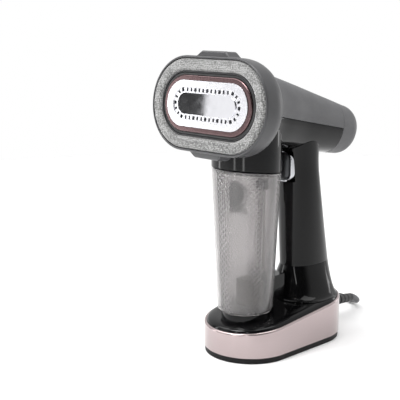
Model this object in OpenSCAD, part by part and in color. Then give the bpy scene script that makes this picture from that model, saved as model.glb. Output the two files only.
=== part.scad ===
// Upright hand-held garment steamer on a stadium-shaped base, millimetres.
// Origin: centre of the base underside. -Y is the steaming face, +Z is up, +X is the right-hand side.

/* [Base] */
// Width of the base band, side to side
base_w = 86; // [72:1:104]
// Length of the base band, front to back
base_l = 152; // [126:1:183]
// Height of the dark foot under the band
foot_h = 4.8; // [4:0.2:8]
// Height of the band's top edge at mid length
band_h = 35; // [29:0.5:42]
// Rise of the band's top edge towards the rear, degrees
band_slope = 5.5; // [0:0.5:8]
// Wall of the moulded housing pieces
wall = 2.2; // [1.8:0.1:3]

/* [Head] */
// Height of the steaming face centre above the table
head_z = 235; // [215:1:282]
// Reach of the steaming face in front of the base centre
head_reach = 91.6; // [84:0.1:105]
// Upward tilt of the steaming face, degrees
head_tilt = 5.9; // [0:0.1:9]
// Width of the fabric pad
pad_w = 140.6; // [118:0.2:168]
// Height of the fabric pad
pad_h = 81.8; // [70:0.2:96]
// Thickness of the fabric pad
pad_t = 4; // [3:0.5:6]
// Width of the flat band of fabric
pad_band = 13.4; // [10:0.1:16]
// Depth of the pad's holder ring, front to back
ring_depth = 24; // [20:0.5:29]
// Half height of the steam plate
plate_r = 20.3; // [17:0.1:22]
// Travel of the pad ring when it is pulled off
ring_travel = 40; // [30:1:50]

/* [Barrel] */
// Fall of the barrel's centre line towards the rear, degrees
barrel_slope = 11; // [8:0.5:13]
// Height of the barrel's back above its centre line, at mid length
barrel_top = 32; // [27:0.5:38]
// Depth of the barrel below its centre line, at mid length
barrel_bottom = 28; // [24:0.5:33]
// Half width of the barrel, at mid length
barrel_hw = 26; // [22:0.5:31]

/* [Handle] */
// Half width of the grip
grip_hw = 19; // [16:0.5:22]
// Half depth of the grip at its top, front to back
grip_hd = 20.5; // [17.5:0.5:24]
// Distance of the grip's centre behind the base centre, at its top
grip_y = 31.5; // [30:0.5:37]
// Lean of the grip, degrees, its foot further back
grip_lean = 7.7; // [5:0.1:9]

/* [Water tank] */
// Radius of the tank at its foot
tank_r0 = 26; // [22:0.2:30]
// Radius of the tank at its shoulder
tank_r1 = 31.4; // [27.4:0.2:33]
// Distance of the tank's axis in front of the base centre
tank_y = 39.6; // [37:0.2:43]
// Height of the tank's flat underside
tank_z0 = 40; // [40:0.5:46]
// Travel of the tank when it is drawn off
tank_travel = 85; // [60:1:100]

/* [Controls] */
// Travel of the trigger
trigger_travel = 4.5; // [3:0.5:5]
// Height of the trigger
trigger_h = 26; // [20:1:30]
// Radius of the power button
button_r = 6.5; // [5:0.1:8]
// Travel of the power button
button_travel = 2; // [1:0.5:3]

/* [Mains cord] */
// Outside diameter of the mains cord
cord_d = 7; // [6:0.5:8]
// Length of the tapered strain relief outside the base
relief_l = 46; // [30:1:60]

/* [Hidden] */
$fn = 48;
head_y = -head_reach;
base_r = base_w / 2;
base_c = (base_l - base_w) / 2;
head_l = (pad_w - pad_h) / 2;
pad_ro = pad_h / 2;
pad_ri = pad_ro - pad_band;
frame_ro = pad_ro + 1;
collar_ro = pad_ro - 5;
trim_ro = plate_r + 4.4;
tb = tan(band_slope);
tc = tan(barrel_slope);
th = tan(head_tilt);
grip_top = head_z - 70;
deck_rise = 4.2;
band_t = 2.4;
bp = 0.95;
dock_hw = 9;
dock_top = 68;
deck_z0 = band_h + deck_rise;

function band_z(y) = band_h + tb * y;
function deck_z(y) = deck_z0 + tb * y;
function lerp(a, b, t) = a + (b - a) * t;
function look(y, tab, k) =
    y <= tab[0][0] ? tab[0][k] :
    y >= tab[len(tab) - 1][0] ? tab[len(tab) - 1][k] :
    let (i = max([for (j = [0:len(tab) - 2]) if (tab[j][0] <= y) j]))
    lerp(tab[i][k], tab[i + 1][k], (y - tab[i][0]) / (tab[i + 1][0] - tab[i][0]));
function sgn(v) = v < 0 ? -1 : 1;
function sup(a, b, t, p) = [a * sgn(cos(t)) * pow(abs(cos(t)), p), b * sgn(sin(t)) * pow(abs(sin(t)), p)];
function stad_pts(l, r, n) = [for (i = [0:n - 1]) let (t = 360 * (i + 0.5) / n)
    [r * cos(t), (sin(t) > 0 ? l : -l) + r * sin(t)]];

// ---- barrel: stations [y, half width, above, below, lean of the section] ----
back_y = head_y + ring_depth + 1.6;
barrel_mid = 16;
cap_y = 71;
dome_y = 87;
dome_l = 19;
tail_r = barrel_bottom - 3.3;
stations = [
    [back_y, 48, 34, 33, th],
    [back_y + 5, 46.5, 35, 33, th * 1.05],
    [back_y + 14, 41, barrel_top + 4.2, 32.5, lerp(th, tc, 0.4)],
    [back_y + 28, 35.5, barrel_top + 4.4, 31.5, lerp(th, tc, 0.7)],
    [-25, barrel_hw + 5.5, barrel_top + 4.2, 31, tc],
    [-5, barrel_hw + 2.5, barrel_top + 2.4, 29.5, tc],
    [barrel_mid, barrel_hw, barrel_top, barrel_bottom, tc],
    [38, barrel_hw - 1, barrel_top - 2.8, barrel_bottom - 1, tc],
    [cap_y, barrel_hw - 2.4, barrel_top - 6.9, barrel_bottom - 2.6, tc]
];
cap_stations = [
    [cap_y, barrel_hw - 2.4, barrel_top - 6.9, barrel_bottom - 2.6, tc],
    [79, barrel_hw - 2.8, barrel_top - 8, barrel_bottom - 3, tc],
    [dome_y, barrel_hw - 3.2, barrel_top - 9, tail_r, tc]
];
function axis_z(y) = head_z - tc * (y - head_y);
function ring_at(s, d, t0, t1, n) = [for (i = [0:n]) let (t = lerp(t0, t1, i / n),
    q = sup(s[1] - d, (sin(t) >= 0 ? s[2] : s[3]) - d, t, bp))
    [q[0], s[0] + q[1] * s[4], axis_z(s[0]) + q[1]]];
function under_at(x, y0) = let (w = look(y0, stations, 1), h = look(y0, stations, 3),
    r = min(1, abs(x) / w)) axis_z(y0) - h * pow(max(0, 1 - pow(r, 2 / bp)), bp / 2);
function under_z(x, y, z, k) = k == 0 ? z :
    let (c = axis_z(y), y0 = y - (z - c) * look(y, stations, 4)) under_z(x, y, under_at(x, y0), k - 1);
function below(x, y) = under_z(x, y, axis_z(y) - barrel_bottom, 6);

// ---- loft helpers ----
// Open shell: two stacks of open arcs joined along their edges and ends.
module arc_shell(outer, inner) {
    m = len(outer);
    n = len(outer[0]);
    o = function (i, j) i * n + j;
    q = function (i, j) m * n + i * n + j;
    pts = concat([for (r = outer) each r], [for (r = inner) each r]);
    skin_o = [for (i = [0:m - 2], j = [0:n - 2]) each
        [[o(i, j), o(i + 1, j), o(i + 1, j + 1)], [o(i, j), o(i + 1, j + 1), o(i, j + 1)]]];
    skin_q = [for (i = [0:m - 2], j = [0:n - 2]) each
        [[q(i, j), q(i + 1, j + 1), q(i + 1, j)], [q(i, j), q(i, j + 1), q(i + 1, j + 1)]]];
    start = [for (j = [0:n - 2]) each
        [[o(0, j), o(0, j + 1), q(0, j + 1)], [o(0, j), q(0, j + 1), q(0, j)]]];
    end = [for (j = [0:n - 2]) each
        [[o(m - 1, j), q(m - 1, j + 1), o(m - 1, j + 1)], [o(m - 1, j), q(m - 1, j), q(m - 1, j + 1)]]];
    side0 = [for (i = [0:m - 2]) each
        [[o(i, 0), q(i, 0), q(i + 1, 0)], [o(i, 0), q(i + 1, 0), o(i + 1, 0)]]];
    side1 = [for (i = [0:m - 2]) each
        [[o(i, n - 1), q(i + 1, n - 1), q(i, n - 1)], [o(i, n - 1), o(i + 1, n - 1), q(i + 1, n - 1)]]];
    polyhedron(pts, concat(skin_o, skin_q, start, end, side0, side1), convexity = 8);
}
// Closed stack of rings walked round in one loop: outside up, inside down, joined at both ends.
module ring_shell(rings) {
    m = len(rings);
    n = len(rings[0]);
    o = function (i, j) (i % m) * n + (j % n);
    pts = [for (r = rings) each r];
    skin = [for (i = [0:m - 1], j = [0:n - 1]) each
        [[o(i, j), o(i + 1, j), o(i + 1, j + 1)], [o(i, j), o(i + 1, j + 1), o(i, j + 1)]]];
    polyhedron(pts, skin, convexity = 8);
}
// Solid stack of rings with a fan at each end.
module ring_solid(rings) {
    m = len(rings);
    n = len(rings[0]);
    o = function (i, j) i * n + (j % n);
    mid = function (r) [for (k = [0:2]) ([for (p = r) 1] * [for (p = r) p[k]]) / len(r)];
    pts = concat([for (r = rings) each r], [mid(rings[0]), mid(rings[m - 1])]);
    skin = [for (i = [0:m - 2], j = [0:n - 1]) each
        [[o(i, j), o(i + 1, j), o(i + 1, j + 1)], [o(i, j), o(i + 1, j + 1), o(i, j + 1)]]];
    start = [for (j = [0:n - 1]) [m * n, o(0, j), o(0, j + 1)]];
    end = [for (j = [0:n - 1]) [m * n + 1, o(m - 1, j + 1), o(m - 1, j)]];
    polyhedron(pts, concat(skin, start, end), convexity = 8);
}
// Round tube swept along points, ring by ring, its rings kept upright.
function unit(v) = v / norm(v);
function tangent(p, i) = unit(p[min(i + 1, len(p) - 1)] - p[max(i - 1, 0)]);
function swept_ring(c, t, r, n) =
    let (u = unit(cross(t, abs(t[2]) > 0.9 ? [0, 1, 0] : [0, 0, 1])), v = cross(u, t))
    [for (j = [0:n - 1]) c + r * (cos(360 * j / n) * u + sin(360 * j / n) * v)];
module swept(p, r, n) {
    ring_solid([for (i = [0:len(p) - 1]) swept_ring(p[i], tangent(p, i), r, n)]);
}
// Points of a smooth curve through hand-set points, k steps a span.
function at(p, i) = p[max(0, min(len(p) - 1, i))];
function smooth(p, k) = concat([for (i = [0:len(p) - 2], j = [0:k - 1]) let (t = j / k,
    a = at(p, i - 1), b = at(p, i), c = at(p, i + 1), d = at(p, i + 2))
    0.5 * (2 * b + (c - a) * t + (2 * a - 5 * b + 4 * c - d) * t * t + (3 * b - a - 3 * c + d) * t * t * t)],
    [p[len(p) - 1]]);
// Long-round outline: straight half length l along X, end radius r.
module long_round(l, r) {
    translate([-l, 0]) circle(r);
    translate([l, 0]) circle(r);
    square([2 * l, 2 * r], center = true);
}
// A section [radius, height] carried round the long-round outline.
module round_sweep(l, section) {
    translate([l, 0, 0]) rotate([0, 0, -90]) rotate_extrude(angle = 180) polygon(section);
    translate([-l, 0, 0]) rotate([0, 0, 90]) rotate_extrude(angle = 180) polygon(section);
    translate([-l, 0, 0]) rotate([90, 0, 90]) linear_extrude(2 * l) polygon(section);
    mirror([0, 1, 0]) translate([-l, 0, 0]) rotate([90, 0, 90]) linear_extrude(2 * l) polygon(section);
}
module stad_y(l, r, h) {
    rotate([0, 0, 90]) linear_extrude(h) long_round(l, r);
}
module head_frame() {
    translate([0, head_y, head_z]) rotate([90 - head_tilt, 0, 0]) children();
}
module rod_y(x, y, z, r, l) {
    translate([x, y, z]) rotate([-90, 0, 0]) cylinder(r = r, h = l);
}
module rod_x(x, y, z, r, l) {
    translate([x, y, z]) rotate([0, 90, 0]) cylinder(r = r, h = l);
}
module block(x, y, z, sx, sy, sz) {
    translate([x - sx / 2, y - sy / 2, z]) cube([sx, sy, sz]);
}
// Everything above (or below) the sloped plane through height h at y = 0.
module above_slope(h, ang) {
    translate([0, 0, h]) rotate([ang, 0, 0]) translate([-200, -200, 0]) cube([400, 400, 300]);
}
module below_slope(h, ang) {
    translate([0, 0, h]) rotate([ang, 0, 0]) translate([-200, -200, -300]) cube([400, 400, 300]);
}

// ---- base ----
screw_x = base_r - 12;
screw_y = base_c - 12;
foot_x = base_r - 17;
foot_y = base_c + 16;
module at_corners(x, y) {
    for (sx = [-1, 1], sy = [-1, 1]) translate([sx * x, sy * y, 0]) children();
}
module base_plate() {
    color("#2b2b2d") difference() {
        stad_y(base_c, base_r - 0.9, foot_h);
        translate([0, 0, 3]) stad_y(base_c, base_r - band_t - 3, foot_h);
        at_corners(foot_x, foot_y) translate([0, 0, -1]) cylinder(r = 6, h = 2.6);
        at_corners(screw_x, screw_y) translate([0, 0, -1]) cylinder(r = 3.4, h = 2.6);
        at_corners(screw_x, screw_y) translate([0, 0, -1]) cylinder(r = 1.8, h = 9);
    }
}
module foot_pads() {
    color("#3a3a3a") at_corners(foot_x, foot_y) cylinder(r = 6, h = 1.6);
}
module base_screws() {
    color("#9a9a9a") at_corners(screw_x, screw_y) {
        translate([0, 0, 0.5]) cylinder(r = 3.1, h = 1.1);
        translate([0, 0, 1.6]) cylinder(r = 1.5, h = 10);
    }
}
relief_z = 20.5;
module base_band() {
    color("#a59898") difference() {
        translate([0, 0, foot_h]) stad_y(base_c, base_r, band_z(base_l / 2) - foot_h + 1);
        translate([0, 0, foot_h - 1]) stad_y(base_c, base_r - band_t, 80);
        above_slope(band_h, band_slope);
        rod_y(0, base_l / 2 - 12, relief_z, 6.2, 20);
    }
}
deck_tab = [
    [0, 0],
    [band_t + 0.2, 0],
    [band_t + 0.8, 1.2],
    [band_t + 3, 2.7],
    [band_t + 7, 3.8],
    [band_t + 12, deck_rise]
];
function inset(x, y) = base_r - norm([x, max(0, abs(y) - base_c)]);
function deck_top(x, y) = band_z(y) + look(inset(x, y), deck_tab, 1);
function deck_ring(d, h) = [for (p = stad_pts(base_c, base_r - d, 72)) [p[0], p[1], band_z(p[1]) + h]];
module base_deck() {
    color("#101010") difference() {
        union() {
            difference() {
                ring_solid(concat(
                    [deck_ring(band_t + 0.2, -7)],
                    [for (i = [1:5]) deck_ring(deck_tab[i][0], deck_tab[i][1])]
                ));
                ring_solid([
                    deck_ring(band_t + 2.6, -8),
                    deck_ring(band_t + 2.6, -1),
                    deck_ring(band_t + 5, 0.6),
                    deck_ring(band_t + 12, 1.8)
                ]);
                translate([0, grip_y + 16, 10]) cylinder(r = 10, h = 60);
                block(0, 0, 10, 10, 9, 60);
            }
            for (sx = [-1, 1], sy = [-1, 1])
                translate([sx * screw_x, sy * screw_y, 3]) cylinder(r = 3.6, h = band_z(sy * screw_y) - 0.8);
        }
        at_corners(screw_x, screw_y) translate([0, 0, 2]) cylinder(r = 1.55, h = 9.7);
    }
}
module tank_seat() {
    color("#151515") difference() {
        translate([0, -tank_y, 20]) cylinder(r = tank_r0 - 4, h = tank_z0 - 20.4);
        below_slope(deck_z0 + 0.02, band_slope);
        translate([0, -tank_y, tank_z0 - 1.2]) cylinder(r = tank_r0 - 8, h = 9);
    }
}

// ---- skirt and grip ----
skirt_z = 72;
function grip_cy(z) = grip_y + (grip_top - z) * tan(grip_lean);
skirt_front = 5;
function grip_b(z) = grip_hd + 0.085 * (grip_top - z);
skirt_in = band_t + 3;
skirt_edge = 1;
skirt_lift = 0.3;
function skirt_ring(t, d, h) = let (k = pow(t, 0.55))
    [for (i = [0:47]) let (a = 360 * i / 48, g = sup(grip_hw - d, grip_b(skirt_z) - d, a, 0.94),
        fr = skirt_front + d, br = base_c + base_r - skirt_in - d, cy = (fr + br) / 2,
        f = sup(base_r - skirt_in - d, (br - fr) / 2, a, 0.8),
        x = lerp(f[0], g[0], k), y = lerp(cy + f[1], grip_cy(skirt_z) + g[1], k))
        [x, y, lerp(deck_top(f[0], cy + f[1]) + h, skirt_z, t)]];
skirt_ts = [0, 0.06, 0.14, 0.25, 0.4, 0.6, 0.8, 1];
module skirt() {
    color("#0c0c0c") ring_shell(concat([skirt_ring(0, 0, skirt_lift)],
        [for (t = skirt_ts) skirt_ring(t, 0, skirt_edge)],
        [for (i = [7:-1:0]) skirt_ring(skirt_ts[i], wall, skirt_lift)]));
}
zs_grip = [0, 0.12, 0.25, 0.4, 0.55, 0.7, 0.82, 0.92, 1];
function grip_z(x, y, t) = lerp(skirt_z + 0.05, below(x, y) - 0.25, t);
function grip_arc(t, d, side) = let (zc = lerp(skirt_z, grip_top + 14, t),
    f = 1 + 0.1 * pow(max(0, (t - 0.78) / 0.22), 2))
    [for (i = [0:16]) let (a = side * lerp(-90, 90, i / 16),
        g = sup(grip_hw * f - d, grip_b(zc) * f - d, a, 0.94),
        x = side * ((i == 0 || i == 16) ? 0.05 : abs(g[0])),
        y = grip_cy(zc) + g[1] * side) [x, y, grip_z(x, y, t)]];
module grip_half(side) {
    difference() {
        arc_shell([for (t = zs_grip) grip_arc(t, 0, side)], [for (t = zs_grip) grip_arc(t, wall, side)]);
        block(0, grip_y - grip_hd, trigger_z - 2.6, 2 * bezel_hw + 0.2, 24, trigger_h + 4.8);
    }
}
module grip_left() {
    color("#0c0c0c") grip_half(-1);
}
module grip_right() {
    color("#0c0c0c") grip_half(1);
}

// ---- dock and neck ----
top_ang = -head_tilt;
top_mid = head_z - 62.5;
function top_z(y) = top_mid - th * (y + tank_y);
function cone_r(z) = tank_r0 + (z - tank_z0) * (tank_r1 - tank_r0) / (head_z - 70 - tank_z0);
spigot_z = tank_z0 + 16;
corner_r = 9;
tank_back = -tank_y + cone_r(head_z - 66) + 0.3;
corner_y = tank_back - corner_r;
function k_drop(y) = y <= 0 ? 0 : corner_r - sqrt(max(0, pow(corner_r, 2) - pow(y, 2)));
function k_top(y) = top_z(y) - k_drop(min(y, tank_back) - corner_y);
// Everything below the tank's top line, which rounds down at the rear, raised by h.
module under_top(h) {
    rotate([90, 0, 90]) translate([0, h, -100]) linear_extrude(200) polygon(concat(
        [[60, -100], [-160, -100], [-160, top_z(-160)]],
        [for (i = [0:9]) let (y = corner_y + corner_r * sin(i * 10)) [y, k_top(y)]],
        [[60, k_top(tank_back)]]
    ));
}
dock_y = -tank_y + cone_r(spigot_z) + 0.6;
module dock() {
    color("#0c0c0c") difference() {
        translate([0, 0, deck_z0 - 6]) linear_extrude(dock_top - deck_z0 + 6) {
            translate([-dock_hw, dock_y + 3]) square([2 * dock_hw, skirt_front + 0.2 - dock_y - 3]);
            translate([-dock_hw + 3, dock_y]) square([2 * dock_hw - 6, 4]);
            for (s = [-1, 1]) translate([s * (dock_hw - 3), dock_y + 3]) circle(3);
        }
        below_slope(deck_z0 + 0.05, band_slope);
        translate([-dock_hw + 2.2, dock_y + 2.6, 20])
            cube([2 * dock_hw - 4.4, skirt_front - dock_y - 5, dock_top - 22.4]);
        rod_y(0, dock_y - 1, spigot_z, 3, 8);
        ring_solid(concat([skirt_ring(0, -0.05, -6)], [for (t = skirt_ts) skirt_ring(t, -0.05, skirt_edge)]));
    }
}
// Height under the rear face of a round part of radius r that ends d behind the steaming face.
function face_cap(y, d, r) = let (z = head_z - d * sin(head_tilt))
    max(z - r - 0.5, z + (y - head_y - d * cos(head_tilt) - 0.3) / th);
function neck_top(x, y) = min(below(x, y) - 0.3, face_cap(y, ring_depth, collar_ro + 2.6),
    face_cap(y, ring_depth + 1, collar_ro));
function neck_ring(d, top) = [for (i = [0:47]) let (a = 360 * i / 48, r = cone_r(head_z - 55) - d,
    x = r * cos(a), y = -tank_y + r * sin(a)) [x, y, top ? neck_top(x, y) : k_top(y) + 1.3]];
module neck() {
    color("#0c0c0c")
        ring_shell([neck_ring(0, false), neck_ring(0, true), neck_ring(wall, true), neck_ring(wall, false)]);
}
module neck_floor() {
    color("#141414") difference() {
        intersection() {
            translate([0, -tank_y, tank_z0]) cylinder(r = cone_r(head_z - 55) - wall - 0.15, h = 190);
            under_top(3.2);
        }
        under_top(1.2);
    }
}

// ---- barrel ----
arc_n = 26;
module barrel_cover() {
    color("#5d5d60") difference() {
        arc_shell(
            [for (s = stations) ring_at(s, 0, 180, 0, arc_n)],
            [for (s = stations) ring_at(s, wall, 180, 0, arc_n)]
        );
        rod_x(-60, button_y, button_z, button_r + 0.3, 50);
        rod_x(-60, button_y - 16, button_z, 2.2, 50);
    }
}
module barrel_lower() {
    color("#0c0c0c") difference() {
        arc_shell(
            [for (s = stations) ring_at(s, 0, 359.2, 180.8, arc_n)],
            [for (s = stations) ring_at(s, wall, 359.2, 180.8, arc_n)]
        );
        translate([9, grip_y + 9.5, grip_top - 15]) cylinder(r = 6, h = 36);
    }
}
function ball(s) = [for (k = [15, 32, 50, 68, 82]) let (c = cos(k), q = sin(k))
    [s[0] + dome_l * q, s[1] * c, s[2] * c, s[3] * c, s[4]]];
function full_ring(s, d) = [for (i = [0:39]) let (t = 360 * i / 40,
    k = max(0, min(1, (s[0] - dome_y) / dome_l)),
    q = sup(s[1] - d, (sin(t) >= 0 ? s[2] : s[3]) - d, t, lerp(bp, 1, k)))
    [q[0], s[0] + q[1] * s[4], axis_z(min(s[0], dome_y + 8)) + q[1]]];
function core_end(i) = i == 0 ? -1 : i == 5 ? -0.5 : 0;
module barrel_cap() {
    dome = ball(cap_stations[2]);
    outside = concat(cap_stations, dome);
    core = [for (i = [0:5]) i < 3 ? cap_stations[i] : dome[i - 3]];
    color("#5d5d60") difference() {
        ring_solid([for (i = [7:-1:0]) full_ring(outside[i], 0)]);
        ring_solid([for (i = [5:-1:0]) full_ring(core[i] + [core_end(i), 0, 0, 0, 0], wall)]);
    }
}
button_y = 52;
button_z = axis_z(52) + 12;

// ---- head ----
module head_collar() {
    color("#3a3a3c") head_frame() {
        round_sweep(head_l, [[collar_ro - wall, -ring_depth - 1], [collar_ro, -ring_depth - 1],
            [collar_ro, -6.2], [trim_ro + 0.4, -6.2], [trim_ro + 0.4, -8.2], [collar_ro - wall, -8.2]]);
        difference() {
            translate([0, 0, -ring_depth - 1]) linear_extrude(2) long_round(head_l, collar_ro - wall + 0.4);
            translate([0, 0, -ring_depth - 3]) linear_extrude(6) long_round(head_l - 10, 24);
        }
    }
}
module plate_gasket() {
    color("#1c1c1c") head_frame() round_sweep(head_l,
        [[trim_ro + 0.1, -6], [pad_ri - 0.4, -6], [pad_ri - 0.4, -2.6], [trim_ro + 0.1, -2.6]]);
}
module trim_ring() {
    color("#7a6466") head_frame() round_sweep(head_l,
        [[plate_r + 0.1, -5], [trim_ro, -5], [trim_ro, -1.8], [trim_ro - 1, -1.2], [plate_r + 0.1, -1.2]]);
}
hole_r = plate_r - 8.1;
hole_l = head_l - 2;
module steam_hole(k) {
    wide = k % 3 == 0 ? 3 : 2;
    translate([-wide / 2, -1.6, -5]) cube([wide, 3.2, 6]);
}
module hole_ring() {
    for (k = [-5:5], s = [-1, 1]) translate([k * hole_l / 5.5, s * hole_r, 0]) steam_hole(k);
    for (k = [-3:3], s = [0, 180])
        rotate([0, 0, s]) translate([hole_l, 0, 0]) rotate([0, 0, k * 25])
            translate([hole_r, 0, 0]) rotate([0, 0, 90]) steam_hole(k);
}
module steam_plate() {
    color("#c8c8c8") head_frame() difference() {
        translate([0, 0, -3.2]) linear_extrude(2.6) long_round(head_l, plate_r);
        translate([0, 0, -1.4]) linear_extrude(2) long_round(hole_l, hole_r + 2);
        hole_ring();
    }
}
module plate_panel() {
    color("#d8d8d8") head_frame()
        translate([0, 0, -1.4]) linear_extrude(1) long_round(hole_l - 1, hole_r - 2.9);
}
module steam_chamber() {
    color("#8d8f92") head_frame() difference() {
        translate([0, 0, -17]) linear_extrude(13.8) long_round(head_l - 2, plate_r - 1.5);
        translate([0, 0, -7]) linear_extrude(5) long_round(head_l - 2, plate_r - 3.5);
    }
}
module chamber_cover() {
    color("#a7a9ab") head_frame() {
        translate([0, 0, -19]) linear_extrude(2) long_round(head_l - 2, plate_r - 1.5);
        translate([-24, 0, -32]) cylinder(r = 3, h = 13);
    }
}
module chamber_screws() {
    color("#b0b0b0") head_frame() for (sx = [-1, 1], sy = [-1, 1])
        translate([sx * head_l, sy * 12, -21]) cylinder(r = 2.6, h = 2);
}
module thermostat() {
    color("#c9b990") head_frame() translate([0, 0, -27]) cylinder(r = 8, h = 8);
}
module thermal_fuse() {
    color("#d0d0d0") head_frame() translate([14, 0, -22.5]) rotate([0, 90, 0]) cylinder(r = 2.4, h = 14);
}

// ---- pad ring, drawn off forwards ----
module ring_frame() {
    color("#4a4a4c") head_frame() {
        round_sweep(head_l, [[collar_ro + 0.5, -ring_depth], [collar_ro + 2.6, -ring_depth],
            [frame_ro - 1, -ring_depth + 5], [frame_ro, -ring_depth + 10], [frame_ro, -3.2],
            [pad_ro + 0.1, -2.2], [pad_ro + 0.1, -pad_t], [pad_ri, -pad_t], [pad_ri, -pad_t - 1.8],
            [collar_ro + 0.5, -pad_t - 1.8]]);
        for (s = [0, 180]) rotate([0, 0, s]) difference() {
            translate([0, frame_ro - 0.6, -ring_depth + 4])
                linear_extrude(ring_depth - 8.5) polygon([[-22, 0], [22, 0], [14, 5.6], [-14, 5.6]]);
            translate([0, frame_ro + 12.4, -9]) rotate([0, 90, 0]) cylinder(r = 9, h = 16, center = true);
        }
    }
}
module ring_pad() {
    color("#b0b0b0") head_frame() round_sweep(head_l, [[pad_ri + 0.1, -pad_t + 0.02], [pad_ro, -pad_t + 0.02],
        [pad_ro, -0.8], [pad_ro - 0.8, 0], [pad_ri + 0.9, 0], [pad_ri + 0.1, -0.8]]);
}

// ---- tank, drawn off forwards ----
tank_wall = 2;
module tank_form(d, z0) {
    r = cone_r(z0) - d;
    translate([0, -tank_y, 0]) rotate_extrude() polygon([[0, z0], [r - 4, z0], [r - 1.2, z0 + 1.2],
        [r, z0 + 4], [cone_r(head_z - 50) - d, head_z - 50], [0, head_z - 50]]);
}
fill_z = head_z - 92;
fill_r = 11;
fill_x = -cone_r(fill_z);
fill_turn = -25;
// Filler parts are drawn on the -X side of the tank's axis, then turned towards the rear.
module at_filler() {
    translate([0, -tank_y, 0]) rotate([0, 0, fill_turn]) children();
}
module tank_shell() {
    color("#cfcac6") {
        difference() {
            union() {
                intersection() {
                    tank_form(0, tank_z0);
                    under_top(0);
                }
                at_filler() rod_x(fill_x - 3, 0, fill_z, fill_r + 2.2, 9);
            }
            tank_form(tank_wall, tank_z0 + tank_wall);
            at_filler() rod_x(fill_x - 9, 0, fill_z, fill_r, 20);
            rod_y(0, -tank_y + cone_r(spigot_z) - 8, spigot_z, 6, 14);
        }
        at_filler() for (s = [-1, 1]) difference() {
            translate([fill_x - 6.4, s * 9 - 2, fill_z - fill_r - 7]) cube([9, 4, 5.4]);
            rod_y(fill_x - 4.2, s * 9 - 3, fill_z - fill_r - 4.2, 1.3, 6);
            translate([0, tank_y, 0]) tank_form(tank_wall, tank_z0 + tank_wall);
        }
    }
}
module tank_lid() {
    color("#3a3a3c") difference() {
        intersection() {
            tank_form(tank_wall + 0.05, tank_z0 + 3);
            under_top(-0.1);
        }
        under_top(-2.6);
    }
}
module outlet_valve() {
    color("#26262a") difference() {
        rod_y(0, -tank_y + cone_r(spigot_z) - 14, spigot_z, 5.9, 13.2);
        rod_y(0, -tank_y + cone_r(spigot_z) - 9, spigot_z, 3.3, 14);
        rod_y(0, -tank_y + cone_r(spigot_z) - 20, spigot_z, 1.6, 14);
    }
}
module tank_filter() {
    color("#8b8680") difference() {
        block(0, -tank_y + cone_r(spigot_z) - 20.4, tank_z0 + tank_wall + 0.2, 24, 12.4, 26);
        block(0, -tank_y + cone_r(spigot_z) - 20.4, tank_z0 + tank_wall + 2.2, 20, 8.4, 22);
        rod_y(0, -tank_y + cone_r(spigot_z) - 20, spigot_z, 2, 14);
    }
}
vent_y = -tank_y + cone_r(head_z - 85) - 8;
module vent_valve() {
    color("#2a2a2c") block(0, vent_y, head_z - 83, 9, 8, 10);
}
module vent_tube() {
    color("#d9d6d0") difference() {
        translate([0, vent_y, tank_z0 + 34]) cylinder(r = 2.6, h = head_z - 83.1 - tank_z0 - 34);
        translate([0, vent_y, tank_z0 + 33]) cylinder(r = 1.6, h = 200);
    }
}
flap_px = fill_x - 4.2;
flap_pz = fill_z - fill_r - 4.2;
module filler_flap() {
    color("#2c2c2e") at_filler() difference() {
        union() {
            rod_x(fill_x - 6, 0, fill_z, fill_r + 2.2, 2.7);
            rod_x(fill_x - 6, 0, fill_z, fill_r - 1.6, 5);
            rod_y(flap_px, -6.6, flap_pz, 2, 13.2);
            translate([fill_x - 6, -6.6, flap_pz]) cube([2.7, 13.2, 6]);
        }
        rod_y(flap_px, -8, flap_pz, 1.05, 16);
    }
}
module flap_seal() {
    color("#707070") at_filler() difference() {
        rod_x(fill_x - 3.2, 0, fill_z, fill_r - 0.4, 1.8);
        rod_x(fill_x - 4, 0, fill_z, fill_r - 1.58, 4);
    }
}
module flap_pin() {
    color("#bdbdbd") at_filler() rod_y(flap_px, -11, flap_pz, 1, 22);
}
module spigot() {
    color("#1a1a1c") difference() {
        union() {
            rod_y(0, dock_y - 7.4, spigot_z, 2.9, 7.5);
            rod_y(0, dock_y, spigot_z, 2.98, 6.8);
        }
        rod_y(0, dock_y - 9, spigot_z, 1.6, 18);
        difference() {
            rod_y(0, dock_y - 5.6, spigot_z, 5, 1.4);
            rod_y(0, dock_y - 7, spigot_z, 2.2, 4);
        }
    }
}
module spigot_seal() {
    color("#6b6b6b") difference() {
        rod_y(0, dock_y - 5.58, spigot_z, 3.2, 1.36);
        rod_y(0, dock_y - 7, spigot_z, 2.22, 4);
    }
}

// ---- trigger and switch ----
trigger_hw = 9;
bezel_hw = 11;
trigger_z = head_z - 77;
trigger_y = grip_y - grip_hd - 6.5;
module trigger() {
    color("#8a8a8c") difference() {
        block(0, trigger_y + 8, trigger_z, 2 * trigger_hw, 16, trigger_h);
        block(0, trigger_y + 13, trigger_z + 2, 2 * trigger_hw - 4, 20, trigger_h - 4);
    }
    color("#8a8a8c") rod_y(0, trigger_y + 2.9, trigger_z + 12, 2.2, 12);
}
module trigger_trim() {
    trim_y = grip_y - grip_hd + 6.5;
    color("#d0d0d2") translate([0, trim_y, trigger_z + trigger_h / 2]) rotate([90, 0, 0]) difference() {
        translate([0, -0.7, 0]) linear_extrude(8) square([2 * bezel_hw, trigger_h + 3], center = true);
        translate([0, 0, -1]) linear_extrude(10)
            square([2 * trigger_hw + 0.6, trigger_h + 0.6], center = true);
    }
}
module trigger_spring() {
    wind = function (i)
        [4.2 * cos(i * 30), trigger_y + 3.6 + 21 * i / 72, trigger_z + 12 + 4.2 * sin(i * 30)];
    color("#c0c0c0") swept([for (i = [0:72]) wind(i)], 0.45, 6);
}
module switch_body() {
    color("#202020") difference() {
        block(0, trigger_y + 29.2, trigger_z + 5, 12.8, 8, 14);
        rod_y(0, trigger_y + 24, trigger_z + 12, 1.75, 8);
    }
}
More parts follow.
